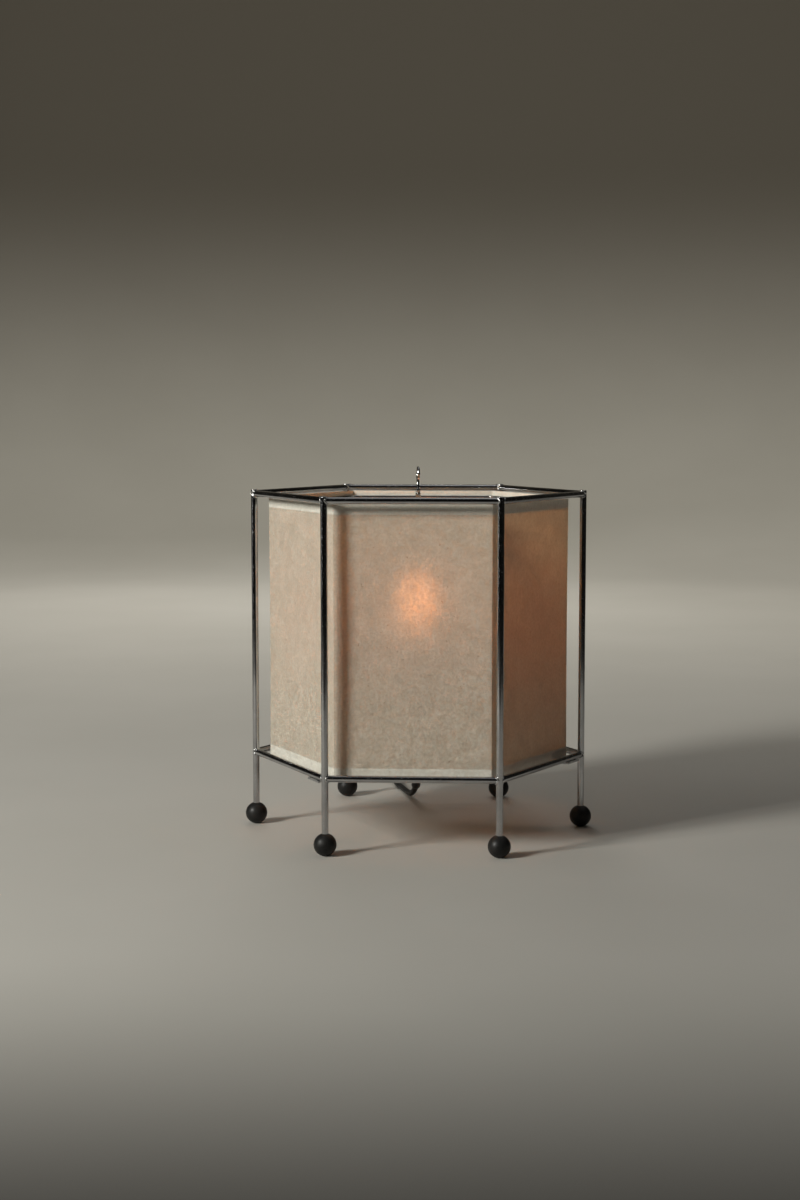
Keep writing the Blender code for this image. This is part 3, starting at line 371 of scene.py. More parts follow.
feed(studio_paint, Base_Color=paint_tone, Roughness=0.85, Specular_IOR_Level=0.2)
sweep.data.materials.append(studio_paint)
print("finish made:", studio_paint.name)

# %% [markdown]
# ## Light
# The lamp was lit low from the front left, with its right-hand panel in shade. A small bare light would
# print hard shadows on the paper, so a soft box takes its place on that side. A thin strip draws an
# edge on the legs, a weak box fills from the right, a wide dim one hangs overhead, one lights the paper
# from behind and a long one washes the wall. The box behind is kept out of mirrors, or it would draw
# white lines along the top rails.

# %% Hang the soft boxes
LAMP_MIDDLE = (0.0, 0.0, 0.18)


def soft_box(name, place, size, watts, tint, at=LAMP_MIDDLE):
    box_light = bpy.data.lights.new(name, "AREA")
    box_light.shape = "RECTANGLE"
    box_light.size = size[0]
    box_light.size_y = size[1]
    box_light.energy = watts
    box_light.color = tint
    hung = bpy.data.objects.new(name, box_light)
    hung.location = place
    toward = Vector(at) - hung.location
    hung.rotation_euler = toward.to_track_quat("-Z", "Y").to_euler()
    bpy.context.scene.collection.objects.link(hung)
    return hung


soft_box("key_box", (-1.75, -1.35, 1.2), (0.45, 0.7), 56, (1.0, 0.99, 0.93))
soft_box("edge_strip", (-2.2, -0.4, 0.5), (0.06, 1.4), 1, (1.0, 0.98, 0.95))
soft_box("fill_box", (1.9, -1.5, 1.3), (0.5, 1.2), 0.4, (0.95, 0.97, 1.0))
soft_box("top_box", (0.2, 0.5, 2.6), (2.0, 2.0), 6, (1.0, 0.98, 0.95))
back_box = soft_box("back_box", (-0.5, 2.4, 1.3), (1.0, 0.6), 14, (1.0, 0.98, 0.95))
back_box.visible_glossy = False
soft_box("wall_wash", (0.0, 1.5, 2.3), (2.6, 0.3), 42, (1.0, 0.96, 0.84), at=(0.0, 4.0, 0.4))
sky = bpy.data.worlds.new("studio_sky")
bpy.context.scene.world = sky
sky.use_nodes = True
sky_light = sky.node_tree.nodes["Background"]
sky_light.inputs["Color"].default_value = (0.92, 0.95, 1.0, 1.0)
sky_light.inputs["Strength"].default_value = 0.045
bpy.context.scene.view_settings.view_transform = "Standard"
print("soft boxes:", [item.name for item in bpy.data.lights])

# %% [markdown]
# ## Metal finishes
# The rods and wires are plated bright, with faint drawing lines, a little haze and a few dull specks.
# The carrier under the shade is plainer zinc, the screw shell and plug pins are brass. All are metallic
# surfaces whose roughness changes from place to place, because that is what breaks up a mirror.

# %% Plating, weld, zinc and brass
def metal(name, dark, light, haze, specks=0.0):
    finish = start_finish(name)
    tone = two_tones(finish, grain(finish, 60, 0.0, 1.0), dark, light)
    drawn = grain(finish, 900, haze[0], haze[1], detail=4.0)
    if specks:
        dull = grain(finish, 1400, 0.0, specks, detail=1.0, window=(0.68, 0.72))
        drawn = reckon(finish, "ADD", drawn, dull)
    skin = relief(finish, grain(finish, 2600, 0.0, 1.0, detail=2.0), 0.004 * MM)
    return feed(finish, Base_Color=tone, Metallic=1.0, Roughness=drawn, Normal=skin)


chrome = metal("bright_plating", (0.42, 0.42, 0.43), (0.52, 0.52, 0.53), (0.05, 0.11), 0.35)
weld_metal = metal("plated_weld", (0.52, 0.52, 0.52), (0.66, 0.66, 0.65), (0.16, 0.34))
zinc = metal("zinc_plating", (0.46, 0.46, 0.47), (0.60, 0.60, 0.60), (0.28, 0.46))
brass = metal("brass", (0.62, 0.43, 0.17), (0.74, 0.56, 0.27), (0.20, 0.36))
tungsten = metal("tungsten", (0.28, 0.26, 0.24), (0.40, 0.38, 0.35), (0.35, 0.5))
print("metals made:", chrome.name, weld_metal.name, zinc.name, brass.name, tungsten.name)

# %% [markdown]
# ## Black finishes
# The feet are lacquered balls with a satin skin. The cord and its fittings are soft black plastic, a
# little glossier where it was drawn through its die. The lampholder is pressed phenolic, nearly black
# with a brown flow in it.

# %% Lacquer, plastic and phenolic
def black(name, dark, light, gloss, pebble, depth):
    """Two near blacks, a range of roughness, and a pebbled skin of so many cycles a metre."""
    finish = start_finish(name)
    tone = two_tones(finish, grain(finish, 140, 0.0, 1.0), dark, light)
    shine = grain(finish, 420, gloss[0], gloss[1], detail=4.0)
    skin = relief(finish, grain(finish, pebble, 0.0, 1.0, detail=2.0), depth * MM)
    return feed(finish, Base_Color=tone, Roughness=shine, Normal=skin)


lacquer = black("black_lacquer", (0.007, 0.007, 0.007), (0.016, 0.015, 0.014), (0.38, 0.54), 1500, 0.010)
feed(lacquer, Specular_IOR_Level=0.25)
cord_skin = black("cord_skin", (0.01, 0.01, 0.01), (0.020, 0.020, 0.020), (0.40, 0.56), 2200, 0.012)
feed(cord_skin, Specular_IOR_Level=0.3)
moulding = black("soft_moulding", (0.012, 0.012, 0.012), (0.024, 0.024, 0.024), (0.42, 0.60), 3200, 0.02)
phenolic = black("pressed_phenolic", (0.010, 0.008, 0.007), (0.032, 0.024, 0.018), (0.22, 0.36), 900, 0.008)
print("blacks made:", lacquer.name, cord_skin.name, moulding.name, phenolic.name)

# %% Put the cord's skin on
def dress(made, finish, body, slot, *nodes):
    """Gives a piece its finish and body, and hides the plain solids it stands for; the slot is not used."""
    made.data.materials.clear()
    made.data.materials.append(finish)
    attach(made, body)
    if nodes:
        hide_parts(*nodes)
    return made


dress(mains_cord, cord_skin, "frame", "black_pvc", "cord_lead", "cord_link", "cord_coil", "cord_tail")
print("cord dressed")

# %% [markdown]
# ## Legs, rails and their welds
# The frame is bright 6 mm rod: six legs, and a ring of six rails at the top and another near the foot
# of the paper. The rods are turned profiles with eased ends, laid along their lines by a matrix. Real
# rods are welded where they meet, so a small lumpy bead runs round the saddle where each rail meets its
# leg. That saddle is where two cylinders of one size cross: its reach along the rail is the radius
# times the cosine.

# %% Turn the legs and rails
ROD_RADIUS = 3.0 * MM
SIDE = 150 * MM
CORNERS = ("right", "back_right", "back_left", "left", "front_left", "front_right")
SIDES = ("back_right", "back", "back_left", "front_left", "front", "front_right")
LEVELS = {"top": 306 * MM, "bottom": 67 * MM}
LEG_TOP = 309.4 * MM
LEG_FOOT = 10.4 * MM
ROD_STEPS = 40


def eased(profile, radius, closed=False, steps=3):
    """The profile with each corner rounded by a short curve."""
    corners = [Vector(point) for point in profile]
    line = []
    for index, corner in enumerate(corners):
        if not closed and index in (0, len(corners) - 1):
            line.append(corner)
            continue
        back = corners[index - 1] - corner
        forth = corners[(index + 1) % len(corners)] - corner
        reach = min(radius, 0.45 * back.length, 0.45 * forth.length)
        start = corner + back.normalized() * reach
        end = corner + forth.normalized() * reach
        for step in range(steps + 1):
            share = step / steps
            line.append(start * (1 - share) ** 2 + corner * 2 * share * (1 - share) + end * share**2)
    return [tuple(point) for point in line]


def rod_between(name, start, end, radius, ease=0.6 * MM):
    length = (end - start).length
    profile = eased([(0.0, length), (radius, length), (radius, 0.0), (0.0, 0.0)], ease)
    rod = lathe(name, profile, ROD_STEPS)
    lay = (end - start).to_track_quat("Z", "Y").to_matrix().to_4x4()
    rod.data.transform(Matrix.Translation(start) @ lay)
    return rod


corner_spots = [polar(SIDE, math.radians(60) * index) for index in range(6)]
for corner, spot in zip(CORNERS, corner_spots):
    foot = spot + Vector((0.0, 0.0, LEG_FOOT))
    head = spot + Vector((0.0, 0.0, LEG_TOP))
    leg = rod_between("bright_leg_" + corner, foot, head, ROD_RADIUS)
    dress(leg, chrome, "frame", "chrome_rod", "leg_" + corner)
for index, side in enumerate(SIDES):
    for level, height in LEVELS.items():
        start = corner_spots[index] + Vector((0.0, 0.0, height))
        end = corner_spots[(index + 1) % 6] + Vector((0.0, 0.0, height))
        name = f"{level}_rail_{side}"
        rail = rod_between("bright_" + name, start, end, ROD_RADIUS)
        dress(rail, chrome, "frame", "chrome_rod", name)
print("rods:", len(CORNERS) + len(SIDES) * len(LEVELS))

# %% Run the weld beads
def wires(name, runs, radius, resolution=4):
    """One mesh of round wires; a run is (points, radius factors or None, closed)."""
    curve = bpy.data.curves.new(name, "CURVE")
    curve.dimensions = "3D"
    curve.bevel_depth = radius
    curve.bevel_resolution = resolution
    curve.use_fill_caps = True
    for points, factors, closed in runs:
        spline = curve.splines.new("POLY")
        spline.points.add(len(points) - 1)
        for index, point in enumerate(points):
            spline.points[index].co = (*point, 1.0)
            spline.points[index].radius = factors[index] if factors else 1.0
        spline.use_cyclic_u = closed
    drawn = bpy.data.objects.new(name + "_line", curve)
    bpy.context.scene.collection.objects.link(drawn)
    bpy.context.view_layer.update()
    mesh = bpy.data.meshes.new_from_object(drawn.evaluated_get(bpy.context.evaluated_depsgraph_get()))
    bpy.data.objects.remove(drawn, do_unlink=True)
    shape = bmesh.new()
    shape.from_mesh(mesh)
    bmesh.ops.remove_doubles(shape, verts=shape.verts, dist=0.001 * MM)
    return link_shape(name, shape, 50)


def lumpy(points, amount, scale):
    """Radius factors that make a bead uneven, with a noise of so many cycles a metre."""
    return [1.0 + amount * noise.noise(point * scale) for point in points]


def weld_run(spot, along, height):
    """A bead round the saddle where a rail, running along, meets the leg at spot."""
    across = Vector((-along.y, along.x, 0.0))
    ring = 1.03 * ROD_RADIUS
    points = []
    for step in range(ROD_STEPS):
        angle = math.tau * step / ROD_STEPS
        reach = ROD_RADIUS * math.sqrt(math.cos(angle) ** 2 + 0.05) + 0.25 * MM
        spread = across * ring * math.sin(angle) + Vector((0.0, 0.0, ring * math.cos(angle)))
        points.append(spot + Vector((0.0, 0.0, height)) + along * reach + spread)
    return points, lumpy(points, 0.28, 900), True


for index, corner in enumerate(CORNERS):
    spot = corner_spots[index]
    ways = [(corner_spots[(index + step) % 6] - spot).normalized() for step in (1, -1)]
    runs = [weld_run(spot, way, height) for way in ways for height in LEVELS.values()]
    dress(wires("weld_" + corner, runs, 0.72 * MM), weld_metal, "frame", "chrome_rod")
print("weld beads:", len(CORNERS) * len(runs))

# %% [markdown]
# ## Ball feet
# Each leg ends in a turned black ball with a small flat under it. A sphere primitive would have no flat
# and no mouth for the rod, so the ball is a profile: up the socket, over a soft lip, round the outside
# and in under it.

# %% Turn the feet
FOOT_RADIUS = 9.95 * MM
FLAT_RADIUS = 3.0 * MM
LIP_RADIUS = 3.9 * MM
SOCKET_RADIUS = 3.15 * MM
SOCKET_FLOOR = 10.1 * MM
BALL_STEPS = 28
FOOT_CENTRE = math.sqrt(FOOT_RADIUS**2 - FLAT_RADIUS**2)
lip_height = FOOT_CENTRE + math.sqrt(FOOT_RADIUS**2 - LIP_RADIUS**2)
mouth = math.acos(LIP_RADIUS / FOOT_RADIUS)
flat = -math.acos(FLAT_RADIUS / FOOT_RADIUS)
foot_profile = [(0.0, SOCKET_FLOOR), (SOCKET_RADIUS, SOCKET_FLOOR), (SOCKET_RADIUS, lip_height)]
foot_profile.append((SOCKET_RADIUS + 0.3 * MM, lip_height + 0.2 * MM))
for step in range(BALL_STEPS + 1):
    angle = mouth + (flat - mouth) * step / BALL_STEPS
    foot_profile.append((FOOT_RADIUS * math.cos(angle), FOOT_CENTRE + FOOT_RADIUS * math.sin(angle)))
foot_profile += [(2.6 * MM, 0.0), (0.0, 0.0)]
for corner, spot in zip(CORNERS, corner_spots):
    ball = lathe("turned_foot_" + corner, foot_profile, 56, at=spot[:2])
    dress(ball, lacquer, "frame", "black_ball", "ball_foot_" + corner)
print("feet turned:", len(CORNERS))

# %% [markdown]
# ## The paper's form
# The shade is one long sheet of rice paper, creased at five corners, hemmed double along both edges and
# lapped at the sixth, at the back. A cloth simulation could fold it, but creased paper is stiff and
# keeps straight folds, so the sheet is a grid wrapped round the hexagon: crisp small bends at the
# folds, a slight hollow in each panel where nothing holds it between its rings, and a faint waviness
# from the damp paste. Each point also carries a number for a doubled layer, which the finish reads,
# since doubled paper lets less light through.

# %% Wrap the sheet
SHADE_CORNER = 136.8 * MM
SHADE_LOW = 64.0 * MM
SHADE_HIGH = 303.5 * MM
HEM = 10.0 * MM
LAP = 12.0 * MM
FOLD = 1.1 * MM
PANEL_STEPS = 36
HEIGHT_STEPS = 56
COS_30 = math.cos(math.radians(30))


def sheet_columns():
    """Places round the hexagon, each with its outward way, its distance from the nearer fold, and its
    distance past the lapped corner."""
    columns = []
    flat_length = SHADE_CORNER - 2 * FOLD * math.tan(math.radians(30))
    start = CORNERS.index("back_left")
    for panel in range(6):
        middle = math.radians(60) * (start + panel) + math.radians(30)
        outward = polar(1.0, middle)
        along = polar(1.0, middle + math.radians(90))
        foot = outward * SHADE_CORNER * COS_30
        marks = {0.0, 1.0, (LAP - 0.3 * MM) / flat_length, LAP / flat_length}
        marks |= {step / PANEL_STEPS for step in range(PANEL_STEPS + 1)}
        for mark in sorted(marks):
            far = (mark - 0.5) * flat_length
            near_fold = min(mark, 1 - mark) * flat_length
            past = mark * flat_length if panel == 0 else SHADE_CORNER
            columns.append((foot + along * far, outward, near_fold, past))
        turn_centre = foot + along * flat_length / 2 - outward * FOLD
        for step in (1, 2, 3):
            way = polar(1.0, middle + math.radians(60) * step / 4)
            columns.append((turn_centre + way * FOLD, way, 0.0, SHADE_CORNER if panel < 5 else 0.0))
    return columns


def sheet_rows():
    rows = {SHADE_LOW, SHADE_LOW + 0.5 * MM, SHADE_HIGH - 0.5 * MM, SHADE_HIGH}
    for edge in (SHADE_LOW + HEM, SHADE_HIGH - HEM):
        rows |= {edge - 0.25 * MM, edge + 0.25 * MM}
    tall = SHADE_HIGH - SHADE_LOW
    rows |= {SHADE_LOW + tall * step / HEIGHT_STEPS for step in range(HEIGHT_STEPS + 1)}
    return sorted(rows)


columns = sheet_columns()
rows = sheet_rows()
print("paper grid:", len(columns), "by", len(rows))

# %% Fold hems, lap and hollows into the sheet
PAPER = 0.6 * MM


def smoothstep(low, high, value):
    share = min(max((value - low) / (high - low), 0.0), 1.0)
    return share * share * (3 - 2 * share)


def doubled_at(height, past):
    hem_edge = min(height - SHADE_LOW, SHADE_HIGH - height)
    in_hem = 1.0 if hem_edge < HEM else 0.0
    in_lap = 1.0 if past < LAP - 0.1 * MM else 0.0
    return max(in_hem, in_lap)


def hollow_at(place, height, near_fold):
    """How far the sheet lies inside its flat panel at this place."""
    tall = math.sin(math.pi * (height - SHADE_LOW) / (SHADE_HIGH - SHADE_LOW))
    wide = smoothstep(0.0, 45 * MM, near_fold)
    damp = noise.noise(Vector((place.x * 26, place.y * 26, height * 17)))
    fine = noise.noise(Vector((place.x * 95, place.y * 95, height * 80 + 7)))
    loose = smoothstep(0.0, 9 * MM, near_fold) * (0.35 + 0.65 * tall)
    return (0.45 + 1.15 * wide) * MM * tall + (0.30 * damp + 0.09 * fine + 0.3) * MM * loose


shape = bmesh.new()
doubled_layer = shape.verts.layers.float.new("doubled")
outer_sheet = []
inner_sheet = []
for place, outward, near_fold, past in columns:
    outer_line = []
    inner_line = []
    for height in rows:
        doubled = doubled_at(height, past)
        proud = 0.10 * MM * doubled
        edge = min(height - SHADE_LOW, SHADE_HIGH - height)
        rounding = 0.25 * MM * (1 - smoothstep(0.0, 0.5 * MM, edge))
        depth = hollow_at(place, height, near_fold) + 0.1 * MM - proud + rounding
        spot = place + Vector((0.0, 0.0, height)) - outward * depth
        thick = PAPER * (1 + doubled) - 2 * rounding
        front = shape.verts.new(spot)
        back = shape.verts.new(spot - outward * thick)
        front[doubled_layer] = doubled
        back[doubled_layer] = doubled
        outer_line.append(front)
        inner_line.append(back)
    outer_sheet.append(outer_line)
    inner_sheet.append(inner_line)
for index in range(len(columns)):
    beside = (index + 1) % len(columns)
    for row in range(len(rows) - 1):
        for sheet in (outer_sheet, inner_sheet):
            left, next_line = sheet[index], sheet[beside]
            shape.faces.new((left[row], next_line[row], next_line[row + 1], left[row + 1]))
    for row in (0, -1):
        outer_edge = (outer_sheet[index][row], outer_sheet[beside][row])
        shape.faces.new((*outer_edge, inner_sheet[beside][row], inner_sheet[index][row]))
paper_shade = link_shape("folded_paper", shape, 50)
print("paper has", len(paper_shade.data.polygons), "faces")

# %% [markdown]
# ## The paper's finish
# Rice paper is a felt of long fibres: cloudy when light comes through it, with pale strands and a few
# dark flecks. The strands are thin bands where a noise passes its middle value, cut into lengths by a
# second noise. The sheet both throws back light and lets it through, so a translucent shader is mixed
# in, less where the paper is doubled, and a rough transmission lets the bulb show as a soft glow.

# %% Felt the paper
def strands(finish, scale, width, shift):
    nodes = finish.node_tree.nodes
    links = finish.node_tree.links
    space = nodes.new("ShaderNodeTexCoord")
    moved = nodes.new("ShaderNodeMapping")
    moved.inputs["Location"].default_value = (shift, shift * 2, shift * 3)
    cloud = nodes.new("ShaderNodeTexNoise")
    cloud.inputs["Scale"].default_value = scale
    cloud.inputs["Detail"].default_value = 1.5
    cloud.inputs["Distortion"].default_value = 0.8
    links.new(space.outputs["Object"], moved.inputs["Vector"])
    links.new(moved.outputs["Vector"], cloud.inputs["Vector"])
    middle = reckon(finish, "SUBTRACT", cloud.outputs["Fac"], 0.5)
    band = reckon(finish, "DIVIDE", reckon(finish, "ABSOLUTE", middle, 0.0), width)
    line = nodes.new("ShaderNodeMath")
    line.operation = "SUBTRACT"
    line.use_clamp = True
    line.inputs[0].default_value = 1.0
    links.new(band, line.inputs[1])
    cut_up = grain(finish, scale * 0.7, 0.0, 1.0, detail=1.0, window=(0.48, 0.56))
    return reckon(finish, "MULTIPLY", line.outputs[0], cut_up)


paper = start_finish("rice_paper")
clouds = grain(paper, 75, 0.0, 1.0, detail=6.0)
felt = grain(paper, 430, 0.0, 1.0, detail=6.0)
long_strands = strands(paper, 95, 0.016, 0.31)
short_strands = strands(paper, 230, 0.030, 0.87)
all_strands = reckon(paper, "MAXIMUM", long_strands, short_strands)
flecks = grain(paper, 330, 0.0, 0.55, detail=1.0, window=(0.73, 0.78))
sheet_tone = two_tones(paper, clouds, (0.715, 0.71, 0.625), (0.805, 0.80, 0.72))
sheet_tone = two_tones(paper, reckon(paper, "MULTIPLY", felt, 0.58), sheet_tone, (0.565, 0.53, 0.43))
strand_share = reckon(paper, "MULTIPLY", all_strands, 0.45)
sheet_tone = two_tones(paper, strand_share, sheet_tone, (0.90, 0.86, 0.76))
sheet_tone = two_tones(paper, flecks, sheet_tone, (0.34, 0.25, 0.15))
layers = paper.node_tree.nodes.new("ShaderNodeAttribute")
layers.attribute_name = "doubled"
doubled_share = reckon(paper, "MULTIPLY", layers.outputs["Fac"], 0.35)
sheet_tone = two_tones(paper, doubled_share, sheet_tone, (0.92, 0.90, 0.83))
felt_height = reckon(paper, "ADD", felt, reckon(paper, "MULTIPLY", all_strands, 0.8))
feed(paper, Base_Color=sheet_tone, Roughness=0.44, Specular_IOR_Level=0.12, IOR=1.3)
clear_share = reckon(paper, "MULTIPLY", doubled_share, 0.6)
clear_share = reckon(paper, "SUBTRACT", grain(paper, 300, 0.25, 0.48, detail=5.0), clear_share)
feed(paper, Transmission_Weight=clear_share, Normal=relief(paper, felt_height, 0.08 * MM))
print("paper finish has", len(paper.node_tree.nodes), "nodes")

# %% Let light through it
nodes = paper.node_tree.nodes
links = paper.node_tree.links
see_through = nodes.new("ShaderNodeBsdfTranslucent")
glow_tone = two_tones(paper, clouds, (0.84, 0.54, 0.28), (0.92, 0.62, 0.35))
glow_tone = two_tones(paper, reckon(paper, "MULTIPLY", all_strands, 0.35), glow_tone, (0.55, 0.36, 0.20))
links.new(glow_tone, see_through.inputs["Color"])
single = reckon(paper, "SUBTRACT", 1.0, reckon(paper, "MULTIPLY", layers.outputs["Fac"], 0.62))
share_through = reckon(paper, "MULTIPLY", single, grain(paper, 300, 0.23, 0.29, detail=4.0))
both = nodes.new("ShaderNodeMixShader")
links.new(share_through, both.inputs["Fac"])
links.new(surface(paper).outputs["BSDF"], both.inputs[1])
links.new(see_through.outputs["BSDF"], both.inputs[2])
links.new(both.outputs["Shader"], nodes["Material Output"].inputs["Surface"])
dress(paper_shade, paper, "shade", "rice_paper", "paper_shade")
print("paper dressed")

# %% [markdown]
# ## The shade's wires
# Two bent wire rings keep the paper six-sided, a crossbar spans the upper one, and an eye to lift the
# shade by stands in a small ferrule in its middle. Bent wire is drawn as lines with round bends and
# given thickness. The joints are soldered, so small beads sit at the crossbar's ends and at the
# ferrule's foot.

# %% Bend the rings
RING_CORNER = 133.3 * MM
RING_BEND = 5.0 * MM
RING_BEND_STEPS = 8
UPPER_RING = 297.5 * MM
LOWER_RING = 65.5 * MM


def ring_line(height):
    line = []
    for index in range(6):
        middle = math.radians(60) * index
        centre = polar(RING_CORNER - RING_BEND / COS_30, middle, height)
        for step in range(RING_BEND_STEPS + 1):
            swung = math.radians(60) * (step / RING_BEND_STEPS - 0.5)
            line.append(centre + polar(RING_BEND, middle + swung))
    return line


for level, height in (("upper", UPPER_RING), ("lower", LOWER_RING)):
    ring = wires(f"bent_{level}_ring", [(ring_line(height), None, True)], 1.5 * MM, 6)
    dress(ring, chrome, "shade", "chrome_wire", f"shade_{level}_ring")
crossbar_end = RING_CORNER - RING_BEND * (1 / COS_30 - 1) - 1.9 * MM
bar_ends = [Vector((side * crossbar_end, 0.0, UPPER_RING)) for side in (-1, 1)]
crossbar = rod_between("bright_crossbar", *bar_ends, 2.0 * MM, 0.9 * MM)
dress(crossbar, chrome, "shade", "chrome_wire", "shade_crossbar")
print("crossbar is", round(2 * crossbar_end / MM, 1), "mm long")

# %% Solder the joints
BEAD_STEPS = 24
FERRULE_FOOT = 299.9 * MM
solder_runs = []
for end in bar_ends:
    points = []
    for step in range(BEAD_STEPS):
        angle = math.tau * step / BEAD_STEPS
        point = end + Vector((0.0, 1.75 * MM * math.cos(angle), 1.5 * MM * math.sin(angle)))
        point.x -= math.copysign(0.15 * MM, end.x)
        points.append(point)
    solder_runs.append((points, lumpy(points, 0.25, 1100), True))
foot_ring = [polar(2.45 * MM, math.tau * step / BEAD_STEPS, FERRULE_FOOT) for step in range(BEAD_STEPS)]
solder_runs.append((foot_ring, lumpy(foot_ring, 0.3, 1300), True))
dress(wires("shade_solder", solder_runs, 0.62 * MM), weld_metal, "shade", "chrome_wire")
print("solder beads:", len(solder_runs))

# %% Crimp the ferrule
def in_mm(pairs, foot=0.0):
    """Pairs in millimetres, such as a radius and a height above a foot."""
    return [(first * MM, foot + second * MM) for first, second in pairs]


ferrule_profile = [(1.6, 310.3), (2.3, 310.3), (2.3, 308.3), (2.0, 307.9), (2.0, 306.9), (2.3, 306.5)]
ferrule_profile += [(2.3, 303.4), (2.0, 303.0), (2.0, 302.0), (2.3, 301.6), (2.3, 299.8), (1.6, 299.8)]
ferrule = lathe("crimped_ferrule", eased(in_mm(ferrule_profile), 0.3 * MM, closed=True), 40, closed=True)
dress(ferrule, chrome, "shade", "chrome_wire", "eye_ferrule")
print("ferrule faces:", len(ferrule.data.polygons))

# %% Bend the eye
EYE_RADIUS = 5.2 * MM
EYE_CENTRE = 324.3 * MM
EYE_WIRE = 1.3 * MM
EYE_STEPS = 56
loop = []
for step in range(EYE_STEPS + 1):
    angle = math.radians(-42 + 287 * step / EYE_STEPS)
    loop.append(Vector((0.0, EYE_RADIUS * math.cos(angle), EYE_CENTRE + EYE_RADIUS * math.sin(angle))))
neck = Vector((0.0, 0.0, 310.3 * MM))
reach = (loop[0] - neck).length / 2
rise = neck + Vector((0.0, 0.0, reach))
swing = loop[0] - (loop[1] - loop[0]).normalized() * reach
shank = Vector((0.0, 0.0, 301.3 * MM))
eye_line = [shank, *interpolate_bezier(neck, rise, swing, loop[0], 14), *loop[1:]]
eye_turn = Matrix.Rotation(math.radians(8), 3, "Z")
eye_line = [eye_turn @ point for point in eye_line]
eye = wires("bent_eye", [(eye_line, None, False)], EYE_WIRE, 6)
dress(eye, chrome, "shade", "chrome_wire", "lifting_eye")
eye_top = max(point.z for point in eye_line) + EYE_WIRE
print("eye stands", round(eye_top / MM, 1), "mm above the table")

# %% [markdown]
# ## The bulb
# A candle bulb stands on the lamp's axis and is lit, which the glow in the paper shows by being taller
# than it is wide. Its opal glass is one turned profile with a wall, brightest round the middle and
# dimmer towards the tip and the neck, and its light is the glass's own emission. The screw cap shows
# its thread: the lathe moves each point out or in along a right-handed spiral.

# %% Blow the glass
HOLDER_FOOT = 110.0 * MM
BULB_TIP = HOLDER_FOOT + 29 * MM
CAP_TOP = BULB_TIP + 26.5 * MM
BODY_RADIUS = 17.4 * MM
BODY_RISE = 33.0 * MM
BODY_CENTRE = BULB_TIP + 65 * MM
NECK_RADIUS = 12.1 * MM
GLASS_WALL = 1.0 * MM
GLASS_STEPS = 36
glass_line = []
for step in range(GLASS_STEPS + 1):
    angle = math.radians(90 - 128 * step / GLASS_STEPS)
    glass_line.append(Vector((BODY_RADIUS * math.cos(angle), BODY_CENTRE + BODY_RISE * math.sin(angle))))
shoulder = glass_line[-1]
slope = (shoulder - glass_line[-2]).normalized()
waist = Vector((NECK_RADIUS, CAP_TOP))
reach = (shoulder - waist).length / 3
bend = interpolate_bezier(shoulder, shoulder + slope * reach, waist + Vector((0.0, reach)), waist, 14)
glass_line += [Vector(point[:2]) for point in bend[1:]]
glass_line.append(Vector((NECK_RADIUS, CAP_TOP - 11 * MM)))
glass_line[0].x = 0.0
inside_line = [Vector((max(point.x - GLASS_WALL, 0.0), point.y)) for point in reversed(glass_line)]
inside_line[-1] = Vector((0.0, glass_line[0].y - GLASS_WALL))
glass = lathe("opal_candle", [tuple(point) for point in glass_line + inside_line], 64)
print("bulb is", round(2 * BODY_RADIUS / MM), "mm across")

# %% Light the glass
opal = start_finish("lit_opal_glass")
opal_tone = two_tones(opal, grain(opal, 90, 0.0, 1.0), (0.88, 0.82, 0.72), (0.95, 0.91, 0.83))
lit_share = place_share(opal, "Z", CAP_TOP + 8 * MM, BODY_CENTRE)
dim_tip = place_share(opal, "Z", BODY_CENTRE + BODY_RISE * 2.0, BODY_CENTRE)
lit_share = reckon(opal, "MULTIPLY", lit_share, dim_tip)
light_tone = two_tones(opal, lit_share, (0.10, 0.035, 0.010), (1.0, 0.33, 0.10))
feed(opal, Base_Color=opal_tone, Roughness=0.18, Emission_Color=light_tone, Emission_Strength=12.0)
dress(glass, opal, "bulb", "opal_glass", "bulb_glass")
print("glass is lit:", opal.name)

# %% Roll the screw cap
THREAD = 3.62 * MM
THREAD_LOW = 8.0 * MM
THREAD_HIGH = 23.5 * MM
THREAD_FADE = 1.0 * MM


def cap_thread(angle, radius, height):
    rise = height - BULB_TIP
    begun = smoothstep(THREAD_LOW - THREAD_FADE, THREAD_LOW + THREAD_FADE, rise)
    ended = smoothstep(THREAD_HIGH - THREAD_FADE, THREAD_HIGH + THREAD_FADE, rise)
    inside = begun * (1 - ended)
    wave = 0.5 - 0.5 * math.cos(math.tau * height / THREAD - angle)
    return radius - 1.0 * MM * inside * wave


cap_wall = [(10.6, 3.8), (12.2, 5.3), (12.9, 6.2)]
cap_wall += [(13.0, 6.4 + step * 0.28) for step in range(66)]
cap_wall += [(13.0, 25.6), (12.9, 26.3), (12.5, 26.5), (11.5, 26.1), (11.5, 7.0), (10.0, 4.4)]
cap_wall = in_mm(cap_wall, BULB_TIP)
screw_cap = lathe("rolled_screw_cap", cap_wall, 64, closed=True, shape_radius=cap_thread, sharp=60)
dress(screw_cap, zinc, "bulb", "zinc_plate", "bulb_cap")
print("cap thread:", round((THREAD_HIGH - THREAD_LOW) / THREAD, 1), "turns")

# %% [markdown]
# ## The lampholder
# Under the bulb is a pressed lampholder: a fluted cap on the stem, a sleeve that screws into it, a
# ceramic core with a sprung contact, and the brass shell that the bulb screws into. All are turned
# about the axis, so they are a list of profiles; the flutes come from the same hook that made the
# thread.

# %% Turn the lampholder
FLUTES = 30
SLEEVE_RINGS = (31, 37, 43)


def fluted(angle, radius, height):
    rise = height - HOLDER_FOOT
    grip = smoothstep(12 * MM, 13.5 * MM, rise) * (1 - smoothstep(19.5 * MM, 21 * MM, rise))
    return radius - 0.55 * MM * grip * (radius > 19.5 * MM) * (0.5 - 0.5 * math.cos(FLUTES * angle))


